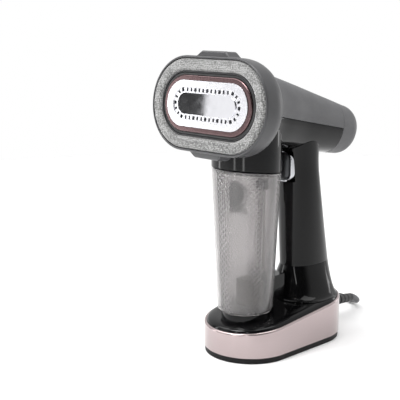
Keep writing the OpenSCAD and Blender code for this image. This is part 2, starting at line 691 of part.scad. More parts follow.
module switch_plunger() {
    color("#c8342c") rod_y(0, trigger_y + 15.3, trigger_z + 12, 1.7, 11.4);
}
module power_button() {
    color("#c9c9cb") rod_x(-look(button_y, stations, 1) - 0.6, button_y, button_z, button_r, 9);
}
module button_light() {
    color("#e8e8e0") rod_x(-look(button_y - 16, stations, 1) + 1.2, button_y - 16, button_z, 2.1, 8);
}
module control_board() {
    color("#2f6b3c") block(0, 40, axis_z(40) - 6, 34, 56, 1.6);
}
module board_parts() {
    color("#303030") block(-8, 26, axis_z(40) - 4.4, 12, 16, 12);
    color("#303030") block(8, 30, axis_z(40) - 4.4, 9, 18, 10);
    color("#303030") translate([0, 56, axis_z(40) - 4.4]) cylinder(r = 5, h = 12);
    color("#303030") block(button_travel - 13, 50, axis_z(40) - 4.4, 4.6, 10, 14);
}

// ---- pump and hoses ----
pump_y = base_c - 17;
module pump_body() {
    color("#d8d4c8") {
        rod_y(0, pump_y - 26, 19, 7, 14);
        rod_y(0, pump_y - 34, 19, 2.4, 8);
        rod_y(0, pump_y + 16, 19, 5, 10);
    }
}
module pump_coil() {
    color("#7c7f84") difference() {
        block(0, pump_y + 2, 6, 30, 27.4, 26);
        block(0, pump_y + 2, 8, 31, 20, 22);
    }
    color("#7c7f84") rod_y(0, pump_y - 8, 19, 10, 20);
}
module pump_mounts() {
    color("#2a2a2a") for (s = [-1, 1]) block(s * 17.6, pump_y + 2, 3.1, 4.6, 22, 8);
}
// Hand-set centre lines of the two hoses.
suction_pts = [
    [0, dock_y + 8.6, spigot_z - 3.4],
    [0, dock_y + 9, spigot_z - 9],
    [0, -2, 40],
    [0, -6, 32],
    [0, pump_y - 32, 27.5],
    [0, pump_y - 41, 25],
    [0, pump_y - 45, 21.5],
    [0, pump_y - 41.5, 18.8],
    [0, pump_y - 34.2, 19]
];
pressure_pts = [
    [0, pump_y + 26.2, 19],
    [0, pump_y + 29.2, 20.6],
    [0, pump_y + 29.8, 26],
    [0, pump_y + 30, 34],
    [6, grip_cy(70), 70],
    [8, grip_cy(110), 110],
    [8, grip_cy(150) + 6, 150],
    [9, grip_y + 9.5, grip_top + 12],
    [8, grip_y + 7.5, grip_top + 24],
    [4, grip_y + 1, grip_top + 31],
    [-12, 4, head_z - 35.5],
    [-23, -28, head_z - 21],
    [-24, head_y + 33, head_z - 8]
];
module suction_hose() {
    color("#e4e0d8") swept(smooth(suction_pts, 3), 1.6, 8);
}
module pressure_hose() {
    color("#e4e0d8") swept(smooth(pressure_pts, 4), 2, 8);
}

// ---- mains cord ----
// Hand-set centre line of the cord from the strain relief to the coil, and from the coil to the plug.
rear = base_l / 2;
relief_end = rear + relief_l;
coil_x = -78;
coil_y = rear + 28;
coil_r = 38;
coil_t = 1.5 * cord_d;
cord_z = cord_d / 2 + 0.1;
relief_tilt = 5;
function relief_c(d) = [0, rear + d * cos(relief_tilt), relief_z - d * sin(relief_tilt)];
cord_pts = [
    relief_c(relief_l - 6),
    relief_c(relief_l + 3),
    [-3, relief_end + 15, 9.5],
    [-13, relief_end + 24, 5.4],
    [-28, rear + 73, cord_z],
    [-45, rear + 73, cord_z],
    [-58, rear + 73, cord_z]
];
tail_pts = [
    [-80, rear + 80.1, cord_z],
    [-92, rear + 80.1, cord_z],
    [-105, rear + 81, cord_z],
    [-116, rear + 84, cord_z],
    [-125, rear + 90.5, cord_z + 0.6],
    [-131, rear + 99, cord_z + 3.2],
    [-137, rear + 108.5, cord_z + 7.4],
    [-141, rear + 115.6, 12.8]
];
plug_a = 120;
module strain_relief() {
    color("#161616") translate([0, rear, relief_z]) rotate([-90 - relief_tilt, 0, 0]) difference() {
        union() {
            translate([0, 0, -7.4]) cylinder(r = 6, h = 8.4);
            translate([0, 0, -7]) cylinder(r = 8, h = 3);
            cylinder(r1 = 5, r2 = 4.3, h = relief_l);
            for (i = [0:6]) translate([0, 0, 0.6 + i * relief_l / 7.4])
                cylinder(r1 = 6 - i * 0.22, r2 = 5.7 - i * 0.22, h = relief_l / 12);
        }
        translate([0, 0, -12]) cylinder(r = cord_d / 2, h = relief_l + 20);
    }
}
clamp_z = relief_z + 1.4;
module cord_clamp() {
    color("#2c2c2e") difference() {
        block(0, rear - 22, 3.02, 30, 9, clamp_z + cord_d / 2 - 0.62);
        rod_y(0, rear - 30, clamp_z, cord_d / 2 + 0.05, 20);
        for (s = [-1, 1]) translate([s * 10.5, rear - 22, foot_h - 2]) cylinder(r = 1.55, h = 30);
    }
}
module clamp_screws() {
    color("#a0a0a0") for (s = [-1, 1]) {
        translate([s * 10.5, rear - 22, foot_h + 0.5])
            cylinder(r = 1.5, h = clamp_z - foot_h - 0.5 + cord_d / 2 + 2.4);
        translate([s * 10.5, rear - 22, clamp_z + cord_d / 2 + 2.4]) cylinder(r = 2.8, h = 1.8);
    }
}
module power_cord() {
    inside = [[0, rear - 28, clamp_z], [0, rear - 22, clamp_z], [0, rear - 16, clamp_z], relief_c(-10)];
    sleeve = [for (i = [0:3]) relief_c(i * (relief_l - 12) / 3)];
    color("#57575a") swept(concat(inside, sleeve, smooth(cord_pts, 3)), cord_d / 2 - 0.05, 10);
    color("#57575a") swept(smooth(tail_pts, 3), cord_d / 2 - 0.05, 10);
}
module cord_coil() {
    color("#57575a") translate([coil_x, coil_y, 0.1]) rotate_extrude() {
        translate([coil_r, coil_t]) square([2 * coil_t, 2 * coil_t - cord_d], center = true);
        translate([coil_r, coil_t]) square([2 * coil_t - cord_d, 2 * coil_t], center = true);
        for (sx = [-1, 1], sy = [-1, 1])
            translate([coil_r + sx * cord_d, coil_t + sy * cord_d]) circle(cord_d / 2);
    }
}
module cord_tie() {
    color("#1d1d1f") translate([coil_x - coil_r, coil_y, 0.1]) rotate([90, 0, 0]) difference() {
        translate([0, coil_t, -4]) linear_extrude(8) square(2 * coil_t + 2.6, center = true);
        translate([0, coil_t, -6]) linear_extrude(12) square(2 * coil_t + 0.8, center = true);
        translate([-50, -10, -10]) cube([100, 9.9, 20]);
    }
}
module plug_place() {
    translate([-141, rear + 116, 13]) rotate([0, 0, plug_a]) rotate([0, 90, 0]) children();
}
module plug_body() {
    color("#202022") plug_place() {
        translate([0, 0, 1]) cylinder(r1 = 5.2, r2 = 7.5, h = 13);
        translate([0, 0, 14]) cylinder(r1 = 9, r2 = 12.8, h = 8);
        translate([0, 0, 22]) linear_extrude(14) rotate([0, 0, 90]) long_round(5.2, 12.9);
    }
}
module plug_pins() {
    color("#c4b98a") plug_place() for (s = [-1, 1]) translate([0, s * 9.5, 36.01]) {
        cylinder(r = 2.4, h = 17);
        translate([0, 0, 17]) cylinder(r1 = 2.4, r2 = 1.6, h = 2);
    }
}

base_plate();
foot_pads();
base_screws();
base_band();
base_deck();
tank_seat();
skirt();
grip_left();
grip_right();
dock();
neck();
neck_floor();
barrel_cover();
barrel_lower();
barrel_cap();
head_collar();
plate_gasket();
trim_ring();
steam_plate();
plate_panel();
steam_chamber();
chamber_cover();
chamber_screws();
thermostat();
thermal_fuse();
ring_frame();
ring_pad();
tank_shell();
tank_lid();
outlet_valve();
vent_valve();
vent_tube();
tank_filter();
filler_flap();
flap_seal();
flap_pin();
spigot();
spigot_seal();
trigger();
trigger_trim();
trigger_spring();
switch_body();
switch_plunger();
power_button();
button_light();
control_board();
board_parts();
pump_body();
pump_coil();
pump_mounts();
suction_hose();
pressure_hose();
strain_relief();
cord_clamp();
clamp_screws();
power_cord();
cord_coil();
cord_tie();
plug_body();
plug_pins();
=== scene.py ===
"""Garment steamer on its stadium base: the looks built round the part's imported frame.

Shapes are worked out in millimetres and stored in metres. -Y is the steaming face, +Z is up, +X the right-hand side.
"""

import math

import bmesh
import bpy
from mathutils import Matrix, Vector


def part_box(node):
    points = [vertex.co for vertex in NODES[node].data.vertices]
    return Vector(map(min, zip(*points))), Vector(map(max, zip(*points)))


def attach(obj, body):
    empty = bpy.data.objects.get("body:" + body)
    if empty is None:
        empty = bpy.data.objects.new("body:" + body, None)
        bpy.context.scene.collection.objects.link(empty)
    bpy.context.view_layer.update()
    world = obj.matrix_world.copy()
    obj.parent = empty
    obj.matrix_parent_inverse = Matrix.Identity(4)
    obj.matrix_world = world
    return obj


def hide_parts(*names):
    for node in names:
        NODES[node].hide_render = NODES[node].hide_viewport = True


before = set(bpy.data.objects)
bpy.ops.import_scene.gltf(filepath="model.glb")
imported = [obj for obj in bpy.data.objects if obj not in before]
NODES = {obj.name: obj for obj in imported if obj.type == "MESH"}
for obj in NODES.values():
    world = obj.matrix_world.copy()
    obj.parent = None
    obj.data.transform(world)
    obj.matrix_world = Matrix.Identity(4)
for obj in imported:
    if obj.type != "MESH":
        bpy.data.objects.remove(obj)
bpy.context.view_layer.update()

bl_info = {
    "name": "Garment steamer",
    "version": (1, 0, 0),
    "blender": (4, 5, 0),
    "location": "View3D > Sidebar > Steamer",
    "description": "Builds a garment steamer, piece by piece, on its packed frame",
    "category": "Object",
}

MM = 0.001
SAME_PLACE = 1e-6  # points closer than this, in metres, are one
PLASTIC_IOR = 1.5
DULLED = 0.2  # a specular level below the usual 0.5, for weaker reflections


# ---- sizes and colours that a user would change ----
def linear(code):
    """An sRGB hex colour as linear red, green and blue."""
    parts = [int(code[i : i + 2], 16) / 255 for i in (1, 3, 5)]
    return tuple(c / 12.92 if c <= 0.04045 else ((c + 0.055) / 1.055) ** 2.4 for c in parts)


def solid(code):
    """An sRGB hex colour as a shader's socket takes it, with its alpha."""
    return (*linear(code), 1)


def span(node, axis):
    """A CAD node's size along an axis, in metres."""
    low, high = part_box(node)
    return high[axis] - low[axis]


def length(name, text, value):
    limits = {"min": value * 0.8, "max": value * 1.2}
    return bpy.props.FloatProperty(name=name, description=text, default=value, precision=4, unit="LENGTH", **limits)


def tint(name, text, code):
    base = linear(code)
    return bpy.props.FloatVectorProperty(name=name, description=text, default=base, min=0, max=1, subtype="COLOR")


class SteamerSizes(bpy.types.PropertyGroup):
    base_width: length("Base width", "Width of the base band, side to side", span("base_band", 0))
    base_length: length("Base length", "Length of the base band, front to back", span("base_band", 1))
    band_height: length("Band height", "Height of the band's top edge at mid length", 0.035)
    pad_width: length("Pad width", "Width of the fabric pad", span("ring_pad", 0))
    pad_height: length("Pad height", "Height of the fabric pad", 0.0818)
    pad_band: length("Pad band", "Width of the flat band of fabric", 0.0134)
    barrel_half_width: length("Barrel half width", "Half width of the barrel at mid length", 0.026)
    barrel_top: length("Barrel top", "Height of the barrel's back above its centre line", 0.032)
    barrel_bottom: length("Barrel bottom", "Depth of the barrel below its centre line", 0.028)
    grip_half_width: length("Grip half width", "Half width of the grip", 0.019)
    grip_half_depth: length("Grip half depth", "Half depth of the grip at its top, front to back", 0.0205)
    wall: length("Wall", "Wall of the moulded housing pieces", 0.0022)
    knurl_pitch: length("Knurl pitch", "Width of one column of diamonds on the tank", 0.0052)
    # The real loop is about 0.6 mm wide; it is drawn coarser so that it shows.
    felt_loop: length("Felt loop", "Width of one loop of the pad's cloth", 0.0015)
    cord_diameter: length("Cord diameter", "Outside diameter of the mains cord", 0.007)
    cord_length: length("Cord length", "Length of the mains cord, from the base to the plug", 2.4)


class SteamerColours(bpy.types.PropertyGroup):
    band: tint("Band", "Lacquered rose metal look of the base band", "#A99B9B")
    gloss: tint("Gloss black", "Polished black housing", "#0A0A0B")
    cover: tint("Cover grey", "Matt grey cover and rear cap of the barrel", "#4B4B4D")
    ring: tint("Ring grey", "Satin grey ring that holds the pad", "#38383A")
    pad: tint("Pad grey", "Cloth of the pad", "#AAAAA9")
    trim: tint("Trim rose", "Anodised ring round the steam plate", "#5A494A")
    tank: tint("Tank smoke", "Smoked clear plastic of the tank", "#C2BFBF")
    cord: tint("Cord grey", "Sheath of the mains cord", "#4D4D50")


def mm(name):
    """A size from the panel, in millimetres."""
    return getattr(bpy.context.scene.steamer_sizes, name) / MM


def colour(name):
    return (*getattr(bpy.context.scene.steamer_colours, name), 1)


# ---- where things are ----
HEAD_Z, HEAD_Y, HEAD_TILT = 235.0, -91.6, math.radians(5.9)
RING_DEPTH = 24.0
FOOT_H, BAND_T, DECK_RISE, SCREW_INSET = 4.8, 2.4, 4.2, 12.0
BAND_TAN, FALL_TAN, FACE_TAN = math.tan(math.radians(5.5)), math.tan(math.radians(11)), math.tan(HEAD_TILT)
BARREL_POWER, GRIP_POWER = 0.95, 0.94
CAP_Y, DOME_Y, DOME_L = 71.0, 87.0, 19.0
SKIRT_Z, SKIRT_FRONT, GRIP_TOP, GRIP_Y, GRIP_TAN = 72.0, 5.0, 165.0, 31.5, math.tan(math.radians(7.7))
TANK_Y, TANK_Z0, TANK_R0, TANK_R1, TANK_CORNER = 39.6, 40.0, 26.0, 31.4, 9.0
TRIGGER_Y, TRIGGER_Z, TRIGGER_H = 4.5, 158.0, 26.0
KNURL_FIELDS = 6  # round the tank, with plain strips between them
REAR, RELIEF_Z, RELIEF_TILT = 76.0, 20.5, math.radians(5)
COIL_X, COIL_Y, COIL_TURNS = -78.0, 104.0, 9


def lerp(a, b, t):
    return a + (b - a) * t


def arc(start, end, steps):
    """Angles from start to end in degrees, as radians."""
    return [math.radians(lerp(start, end, i / steps)) for i in range(steps + 1)]


def power(value, exponent):
    return math.copysign(abs(value) ** exponent, value)


def oval(half_x, half_y, angle, exponent):
    """A point of a superellipse."""
    return half_x * power(math.cos(angle), exponent), half_y * power(math.sin(angle), exponent)


def through(rows, at):
    """The row at that first value, on a smooth curve through rows that are sorted by it."""
    if at <= rows[0][0]:
        return (at, *rows[0][1:])
    if at >= rows[-1][0]:
        return (at, *rows[-1][1:])
    i = max(j for j in range(len(rows) - 1) if rows[j][0] <= at)
    p, q = rows[i], rows[i + 1]
    gap = q[0] - p[0]
    t = (at - p[0]) / gap
    out = [at]
    for k in range(1, len(p)):
        rise = (q[k] - p[k]) / gap
        before = (p[k] - rows[i - 1][k]) / (p[0] - rows[i - 1][0]) if i else rise
        after = (rows[i + 2][k] - q[k]) / (rows[i + 2][0] - q[0]) if i + 2 < len(rows) else rise
        m0, m1 = (before + rise) / 2 * gap, (rise + after) / 2 * gap
        ends = (2 * t**3 - 3 * t**2 + 1) * p[k] + (t**3 - 2 * t**2 + t) * m0
        out.append(ends + (3 * t**2 - 2 * t**3) * q[k] + (t**3 - t**2) * m1)
    return tuple(out)


def head_point(x, up, out):
    """A point of the tilted head: x sideways, up its face, and out from its face."""
    return (
        x,
        HEAD_Y + up * math.sin(HEAD_TILT) - out * math.cos(HEAD_TILT),
        HEAD_Z + up * math.cos(HEAD_TILT) + out * math.sin(HEAD_TILT),
    )


def head_sweep(section, half, steps=44):
    """Rings of a section [radius, out] carried round the head's long-round outline."""
    rings = []
    for side, start in ((1, -90), (-1, 90)):
        for a in arc(start, start + 180, steps):
            rings.append([head_point(side * half + r * math.cos(a), r * math.sin(a), h) for r, h in section])
    return rings


def head_half():
    return (mm("pad_width") - mm("pad_height")) / 2


def band_z(y):
    return mm("band_height") + BAND_TAN * y


def base_ring(inset, height, steps=40):
    """Points round the base outline, inset from it, at height(y)."""
    r = mm("base_width") / 2
    c = mm("base_length") / 2 - r
    points = []
    for side, start in ((1, 0), (-1, 180)):
        for a in arc(start, start + 180, steps):
            y = side * c + (r - inset) * math.sin(a)
            points.append(((r - inset) * math.cos(a), y, height(y)))
    return points


DECK = [(0, 0), (BAND_T + 0.2, 0), (BAND_T + 0.8, 1.2), (BAND_T + 3, 2.7), (BAND_T + 7, 3.8), (BAND_T + 12, DECK_RISE)]


def deck_top(x, y):
    r = mm("base_width") / 2
    inset = r - math.hypot(x, max(0, abs(y) - mm("base_length") / 2 + r))
    return band_z(y) + through(DECK, inset)[1]


def axis_z(y):
    return HEAD_Z - FALL_TAN * (y - HEAD_Y)


def barrel_rows():
    """The barrel's sections: y, half width, above, below, lean."""
    w, up, down = mm("barrel_half_width"), mm("barrel_top"), mm("barrel_bottom")
    back = HEAD_Y + RING_DEPTH + 1.6
    return [
        (back, 48, 34, 33, FACE_TAN),
        (back + 5, 46.5, 35, 33, FACE_TAN * 1.05),
        (back + 14, 41, up + 4.2, 32.5, lerp(FACE_TAN, FALL_TAN, 0.4)),
        (back + 28, 35.5, up + 4.4, 31.5, lerp(FACE_TAN, FALL_TAN, 0.7)),
        (-25, w + 5.5, up + 4.2, 31, FALL_TAN),
        (-5, w + 2.5, up + 2.4, 29.5, FALL_TAN),
        (16, w, up, down, FALL_TAN),
        (38, w - 1, up - 2.8, down - 1, FALL_TAN),
        (CAP_Y, w - 2.4, up - 6.9, down - 2.6, FALL_TAN),
        (79, w - 2.8, up - 8, down - 3, FALL_TAN),
        (DOME_Y, w - 3.2, up - 9, down - 3.3, FALL_TAN),
    ]


def barrel_arc(row, inset, angles, exponent=BARREL_POWER):
    y, w, up, down, lean = row
    points = []
    for a in angles:
        x, z = oval(w - inset, (up if math.sin(a) >= 0 else down) - inset, a, exponent)
        points.append((x, y + z * lean, axis_z(min(y, DOME_Y + 8)) + z))
    return points


def barrel_under(rows, x, y):
    """Height of the barrel's underside over the point x, y."""
    z = axis_z(y) - mm("barrel_bottom")
    for _ in range(6):
        _, w, _, down, _ = row = through(rows, y - (z - axis_z(y)) * through(rows, y)[4])
        z = axis_z(row[0]) - down * max(0, 1 - min(1, abs(x) / w) ** (2 / BARREL_POWER)) ** (BARREL_POWER / 2)
    return z


def grip_centre(z):
    return GRIP_Y + (GRIP_TOP - z) * GRIP_TAN


def grip_depth(z):
    return mm("grip_half_depth") + 0.085 * (GRIP_TOP - z)


def tank_r(z):
    return TANK_R0 + (z - TANK_Z0) * (TANK_R1 - TANK_R0) / 125


def tank_top(y):
    """Height of the tank's top line, which rounds down at its rear."""
    back = -TANK_Y + tank_r(169) + 0.3
    beyond = min(y, back) - (back - TANK_CORNER)
    drop = TANK_CORNER - math.sqrt(max(0, TANK_CORNER**2 - beyond**2)) if beyond > 0 else 0
    return HEAD_Z - 62.5 - FACE_TAN * (y + TANK_Y) - drop


# ---- mesh tools ----
def skin(rings, loop=False, ends="caps"):
    """Points and faces over rings of equal length. ends: caps, or strips for a thin loop closed along its middle."""
    n, m = len(rings[0]), len(rings)
    points = [p for ring in rings for p in ring]
    faces = []
    for i in range(m if loop else m - 1):
        for j in range(n):
            k, l = (i + 1) % m, (j + 1) % n
            faces.append((i * n + j, i * n + l, k * n + l, k * n + j))
    if not loop and ends == "caps":
        faces += [tuple(range(n - 1, -1, -1)), tuple((m - 1) * n + j for j in range(n))]
    if not loop and ends == "strips":
        for base in (0, (m - 1) * n):
            faces += [(base + j, base + j + 1, base + n - 2 - j, base + n - 1 - j) for j in range(n // 2 - 1)]
    return points, faces


def joined(*parts):
    """Several sets of points and faces as one."""
    points, faces = [], []
    for p, f in parts:
        faces += [tuple(i + len(points) for i in face) for face in f]
        points += p
    return points, faces


def shown(name, data):
    """An object in the scene."""
    item = bpy.data.objects.new(name, data)
    bpy.context.scene.collection.objects.link(item)
    return item


def mesh_of(name, shape):
    """A mesh in metres of points and faces in millimetres, its faces turned outwards."""
    points, faces = shape
    mesh = bpy.data.meshes.new(name)
    mesh.from_pydata([tuple(v * MM for v in p) for p in points], [], faces)
    work = bmesh.new()
    work.from_mesh(mesh)
    bmesh.ops.remove_doubles(work, verts=work.verts, dist=SAME_PLACE)
    bmesh.ops.recalc_face_normals(work, faces=work.faces)
    work.to_mesh(mesh)
    work.free()
    return mesh


def build(name, shape, maker, body, slot, stands_for, edge=0.0, sharp=40):
    """A smooth piece that rides on a body. edge is the radius left on its sharp corners, in millimetres."""
    mesh = mesh_of(name, shape)
    mesh.shade_smooth()
    mesh.materials.append(material_of(maker))
    piece = shown(name, mesh)
    if edge:
        soften(piece, edge, sharp)
    else:
        mesh.set_sharp_from_angle(angle=math.radians(sharp))
    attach(piece, body)
    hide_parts(*stands_for)
    return piece


def soften(piece, edge, sharp=40):
    """Rounds a piece's sharp corners, as a moulding tool leaves them."""
    bevel = piece.modifiers.new("edge", "BEVEL")
    bevel.width = edge * MM
    bevel.segments = 3
    bevel.limit_method = "ANGLE"
    bevel.angle_limit = math.radians(sharp)
    bevel.use_clamp_overlap = True
    weigh = piece.modifiers.new("shading", "WEIGHTED_NORMAL")
    weigh.keep_sharp = True


def cut(piece, shape):
    """Takes a closed form out of a piece, before its other modifiers."""
    mesh = mesh_of("cutter", shape)
    tool = shown("cutter", mesh)
    for modifier in piece.modifiers:
        modifier.show_viewport = False
    take = piece.modifiers.new("opening", "BOOLEAN")
    take.operation, take.solver, take.object = "DIFFERENCE", "EXACT", tool
    bpy.context.view_layer.update()
    result = bpy.data.meshes.new_from_object(piece.evaluated_get(bpy.context.evaluated_depsgraph_get()))
    piece.modifiers.remove(take)
    piece.data = result
    for modifier in piece.modifiers:
        modifier.show_viewport = True
    bpy.data.objects.remove(tool)
    bpy.data.meshes.remove(mesh)


def rod(start, end, radius, steps=40):
    """A closed round bar between two points."""
    a, b = Vector(start), Vector(end)
    u = (b - a).orthogonal().normalized()
    v = (b - a).normalized().cross(u)
    spokes = [radius * (math.cos(t) * u + math.sin(t) * v) for t in arc(0, 360, steps)[:-1]]
    return skin([[tuple(c + spoke) for spoke in spokes] for c in (a, b)])


def dress(maker, *nodes, edge=0.0):
    """Gives CAD nodes a material. edge rounds their corners for the eye, with a modifier."""
    for name in nodes:
        piece = NODES[name]
        piece.data.materials.clear()
        piece.data.materials.append(material_of(maker))
        piece.data.shade_smooth()
        weld = piece.modifiers.new("weld", "WELD")
        weld.merge_threshold = SAME_PLACE
        if edge:
            soften(piece, edge, sharp=30)
        else:
            piece.modifiers.new("shading", "WEIGHTED_NORMAL")


# ---- material tools ----
def start(name):
    """A new material, and its shader."""
    material = bpy.data.materials.new(name)
    material.use_nodes = True
    return material, material.node_tree.nodes["Principled BSDF"]


def add(tree, kind, inputs=None, **settings):
    """A shader node with its settings. inputs are values, or sockets to link, by name or place."""
    node = tree.nodes.new("ShaderNode" + kind)
    for name, value in settings.items():
        setattr(node, name, value)
    for key, value in (inputs or {}).items():
        if isinstance(value, bpy.types.NodeSocket):
            tree.links.new(value, node.inputs[key])
        else:
            node.inputs[key].default_value = value
    return node


def finish_of(shader, **values):
    """Sets the shader's own sockets: Base_Color becomes Base Color."""
    for name, value in values.items():
        shader.inputs[name.replace("_", " ")].default_value = value


def place(tree):
    """Where a point is on the piece, in metres."""
    return add(tree, "TexCoord").outputs["Object"]


def per_metre(size_mm):
    """The noise scale at which a grain has that size in millimetres."""
    return 1 / (size_mm * MM)


def bump(shader, height, depth_mm, strength=1.0):
    tree = shader.id_data
    node = add(tree, "Bump", {"Height": height, "Distance": depth_mm * MM, "Strength": strength})
    tree.links.new(node.outputs["Normal"], shader.inputs["Normal"])


def dimmed(base, share):
    """A share of a colour, with its alpha kept at 1."""
    return tuple(c * share for c in base[:3]) + (1,)


def mottle(shader, base, size_mm, amount):
    """Breaks a base colour up a little, lighter and darker, at a real size."""
    tree = shader.id_data
    noise = add(tree, "TexNoise", {"Vector": place(tree), "Scale": per_metre(size_mm), "Detail": 4})
    low = dimmed(base, 1 - amount)
    high = tuple(min(1, c * (1 + amount)) for c in base[:3]) + (1,)
    mix = add(tree, "Mix", {0: noise.outputs["Fac"], 6: low, 7: high}, data_type="RGBA")
    tree.links.new(mix.outputs[2], shader.inputs["Base Color"])


def worn(shader, low, high, size_mm):
    """Roughness that wanders between two values, as handling leaves it."""
    tree = shader.id_data
    noise = add(tree, "TexNoise", {"Vector": place(tree), "Scale": per_metre(size_mm), "Detail": 5, "Roughness": 0.6})
    spread = {"Value": noise.outputs["Fac"], "From Min": 0.3, "From Max": 0.7, "To Min": low, "To Max": high}
    band = add(tree, "MapRange", spread)
    tree.links.new(band.outputs["Result"], shader.inputs["Roughness"])


def moulded(name, base, rough, grain_mm, depth_mm, amount=0.06, **finish):
    """Moulded plastic or rubber: a fine spark-eroded grain, and colour that is never quite even."""
    material, shader = start(name)
    finish_of(shader, IOR=PLASTIC_IOR, **finish)
    mottle(shader, base, 9, amount)
    worn(shader, rough - 0.05, rough + 0.06, 14)
    tree = material.node_tree
    grain = add(tree, "TexNoise", {"Vector": place(tree), "Scale": per_metre(grain_mm), "Detail": 2})
    bump(shader, grain.outputs["Fac"], depth_mm)
    return material


def turned_metal(name, base, low, high, grain_mm=0.25):
    """Bare or plated metal: brighter and duller in patches, with a very fine grain."""
    material, shader = start(name)
    finish_of(shader, Metallic=1.0)
    mottle(shader, base, 6, 0.07)
    worn(shader, low, high, 5)
    tree = material.node_tree
    grain = add(tree, "TexNoise", {"Vector": place(tree), "Scale": per_metre(grain_mm), "Detail": 2})
    bump(shader, grain.outputs["Fac"], 0.004)
    return material


_made = {}


def material_of(maker):
    """The material that a maker function gives, made once."""
    if maker.__name__ not in _made:
        _made[maker.__name__] = maker()
    return _made[maker.__name__]


# ---- materials ----
def lacquered_band():
    # Metallic lacquer over moulded ABS: fine flake under a clear coat, a pearly rose that turns light and dark.
    material, shader = start("lacquered_abs_rose")
    finish_of(shader, Metallic=0.9, IOR=PLASTIC_IOR, Coat_Weight=0.4, Coat_Roughness=0.08)
    tree = material.node_tree
    flake = add(tree, "TexVoronoi", {"Vector": place(tree), "Scale": per_metre(0.35)})
    base = colour("band")
    mix = add(tree, "Mix", {0: flake.outputs["Distance"], 6: dimmed(base, 0.88), 7: base}, data_type="RGBA")
    tree.links.new(mix.outputs[2], shader.inputs["Base Color"])
    worn(shader, 0.18, 0.26, 20)
    bump(shader, flake.outputs["Distance"], 0.006)
    return material


def polished_black_abs():
    # ABS moulded against a polished tool: near mirror gloss, with a slight waviness and faint handling haze.
    material, shader = start("polished_abs_black")
    finish_of(shader, IOR=PLASTIC_IOR, Specular_IOR_Level=DULLED)
    mottle(shader, colour("gloss"), 30, 0.1)
    worn(shader, 0.05, 0.1, 26)
    tree = material.node_tree
    wave = add(tree, "TexNoise", {"Vector": place(tree), "Scale": per_metre(22), "Detail": 1})
    bump(shader, wave.outputs["Fac"], 0.05)
    return material


def textured_cover_abs():
    # ABS moulded against a spark-eroded tool: matt and slightly soft looking, a fine sand-like grain.
    # The real grain is about 0.1 mm; it is drawn at 0.45 mm so that it shows.
    return moulded("textured_abs_grey", colour("cover"), 0.5, 0.45, 0.03)


def satin_ring_abs():
    # Satin moulded ABS: smoother than the cover, with a broad soft highlight.
    return moulded("satin_abs_ring", colour("ring"), 0.4, 0.5, 0.015)


def satin_dark_abs():
    # Satin black ABS of the collar, tank cover and inner mouldings.
    return moulded("satin_abs_dark", solid("#29292C"), 0.42, 0.5, 0.02)


def foot_abs():
    # Glass-filled nylon foot: near black and dull, with a slightly uneven colour.
    return moulded("glass_filled_nylon_foot", solid("#111112"), 0.55, 0.6, 0.04, 0.12, Specular_IOR_Level=DULLED)


def pad_cloth():
    # Looped polyester cloth over foam: soft grey with a fine regular loop, fuzzy at grazing angles. The hollows between
    # the loops carry painted shade.
    material, shader = start("looped_polyester_pad")
    finish_of(shader, Roughness=0.92, IOR=1.45, Sheen_Weight=0.35, Sheen_Roughness=0.5)
    tree = material.node_tree
    where = place(tree)
    loops = add(tree, "TexVoronoi", {"Vector": where, "Scale": per_metre(mm("felt_loop")), "Randomness": 0.55})
    fuzz = add(tree, "TexNoise", {"Vector": where, "Scale": per_metre(0.5), "Detail": 5, "Roughness": 0.7})
    broad = add(tree, "TexNoise", {"Vector": where, "Scale": per_metre(7), "Detail": 3})
    height = add(tree, "Math", {0: loops.outputs["Distance"], 1: fuzz.outputs["Fac"]}, operation="SUBTRACT")
    base = colour("pad")
    # Painted shade: between the loops the colour falls to 0.22 of the pad grey, as shade in the hollows.
    hollow = {"Value": loops.outputs["Distance"], "From Min": 0.1, "From Max": 0.7, "To Min": 1.0, "To Max": 0.0}
    shade = add(tree, "MapRange", hollow)
    mix = add(tree, "Mix", {0: shade.outputs["Result"], 6: dimmed(base, 0.22), 7: base}, data_type="RGBA")
    patches = {"Value": broad.outputs["Fac"], "From Min": 0.3, "From Max": 0.7, "To Min": 0.9, "To Max": 1.06}
    cloudy = add(tree, "MapRange", patches)
    toned = add(tree, "VectorMath", {0: mix.outputs[2], "Scale": cloudy.outputs["Result"]}, operation="SCALE")
    tree.links.new(toned.outputs["Vector"], shader.inputs["Base Color"])
    bump(shader, height.outputs["Value"], 0.35, 0.9)
    return material


def brushed_plate_steel():
    # Stainless steel, fine satin: pale, with hair lines that run along the plate's long way.
    material, shader = start("satin_stainless_plate")
    finish_of(shader, Metallic=1.0, Anisotropic=0.4)
    tree = material.node_tree
    stretched = add(tree, "Mapping", {"Vector": place(tree), "Scale": (0.03, 1, 1)})
    lines = add(tree, "TexNoise", {"Vector": stretched.outputs["Vector"], "Scale": per_metre(0.3), "Detail": 3})
    mottle(shader, solid("#CACACE"), 12, 0.05)
    spread = {"Value": lines.outputs["Fac"], "From Min": 0.3, "From Max": 0.7, "To Min": 0.2, "To Max": 0.28}
    tree.links.new(add(tree, "MapRange", spread).outputs["Result"], shader.inputs["Roughness"])
    bump(shader, lines.outputs["Fac"], 0.01)
    return material


def polished_panel_steel():
    # The same steel polished: it mirrors the room in broad light and dark fields.
    material, shader = start("polished_stainless_panel")
    finish_of(shader, Metallic=1.0)
    mottle(shader, solid("#D2D2D6"), 6, 0.05)
    worn(shader, 0.03, 0.07, 5)
    return material


def anodised_trim():
    # Bead-blasted, anodised aluminium: a dusky rose with a soft even sheen.
    return turned_metal("anodised_aluminium_rose", colour("trim"), 0.22, 0.3)


def chrome_bezel():
    # Chromed ABS: a bright thin mirror.
    return turned_metal("chromed_abs_bezel", solid("#B6B7BB"), 0.06, 0.11)


def screw_steel():
    # Zinc-plated steel.
    return turned_metal("zinc_plated_steel", solid("#B4B6BA"), 0.28, 0.4)


def cast_aluminium():
    # Die-cast aluminium, as cast: grey, pebbly and dull.
    return turned_metal("die_cast_aluminium", solid("#97999C"), 0.42, 0.55, 0.6)


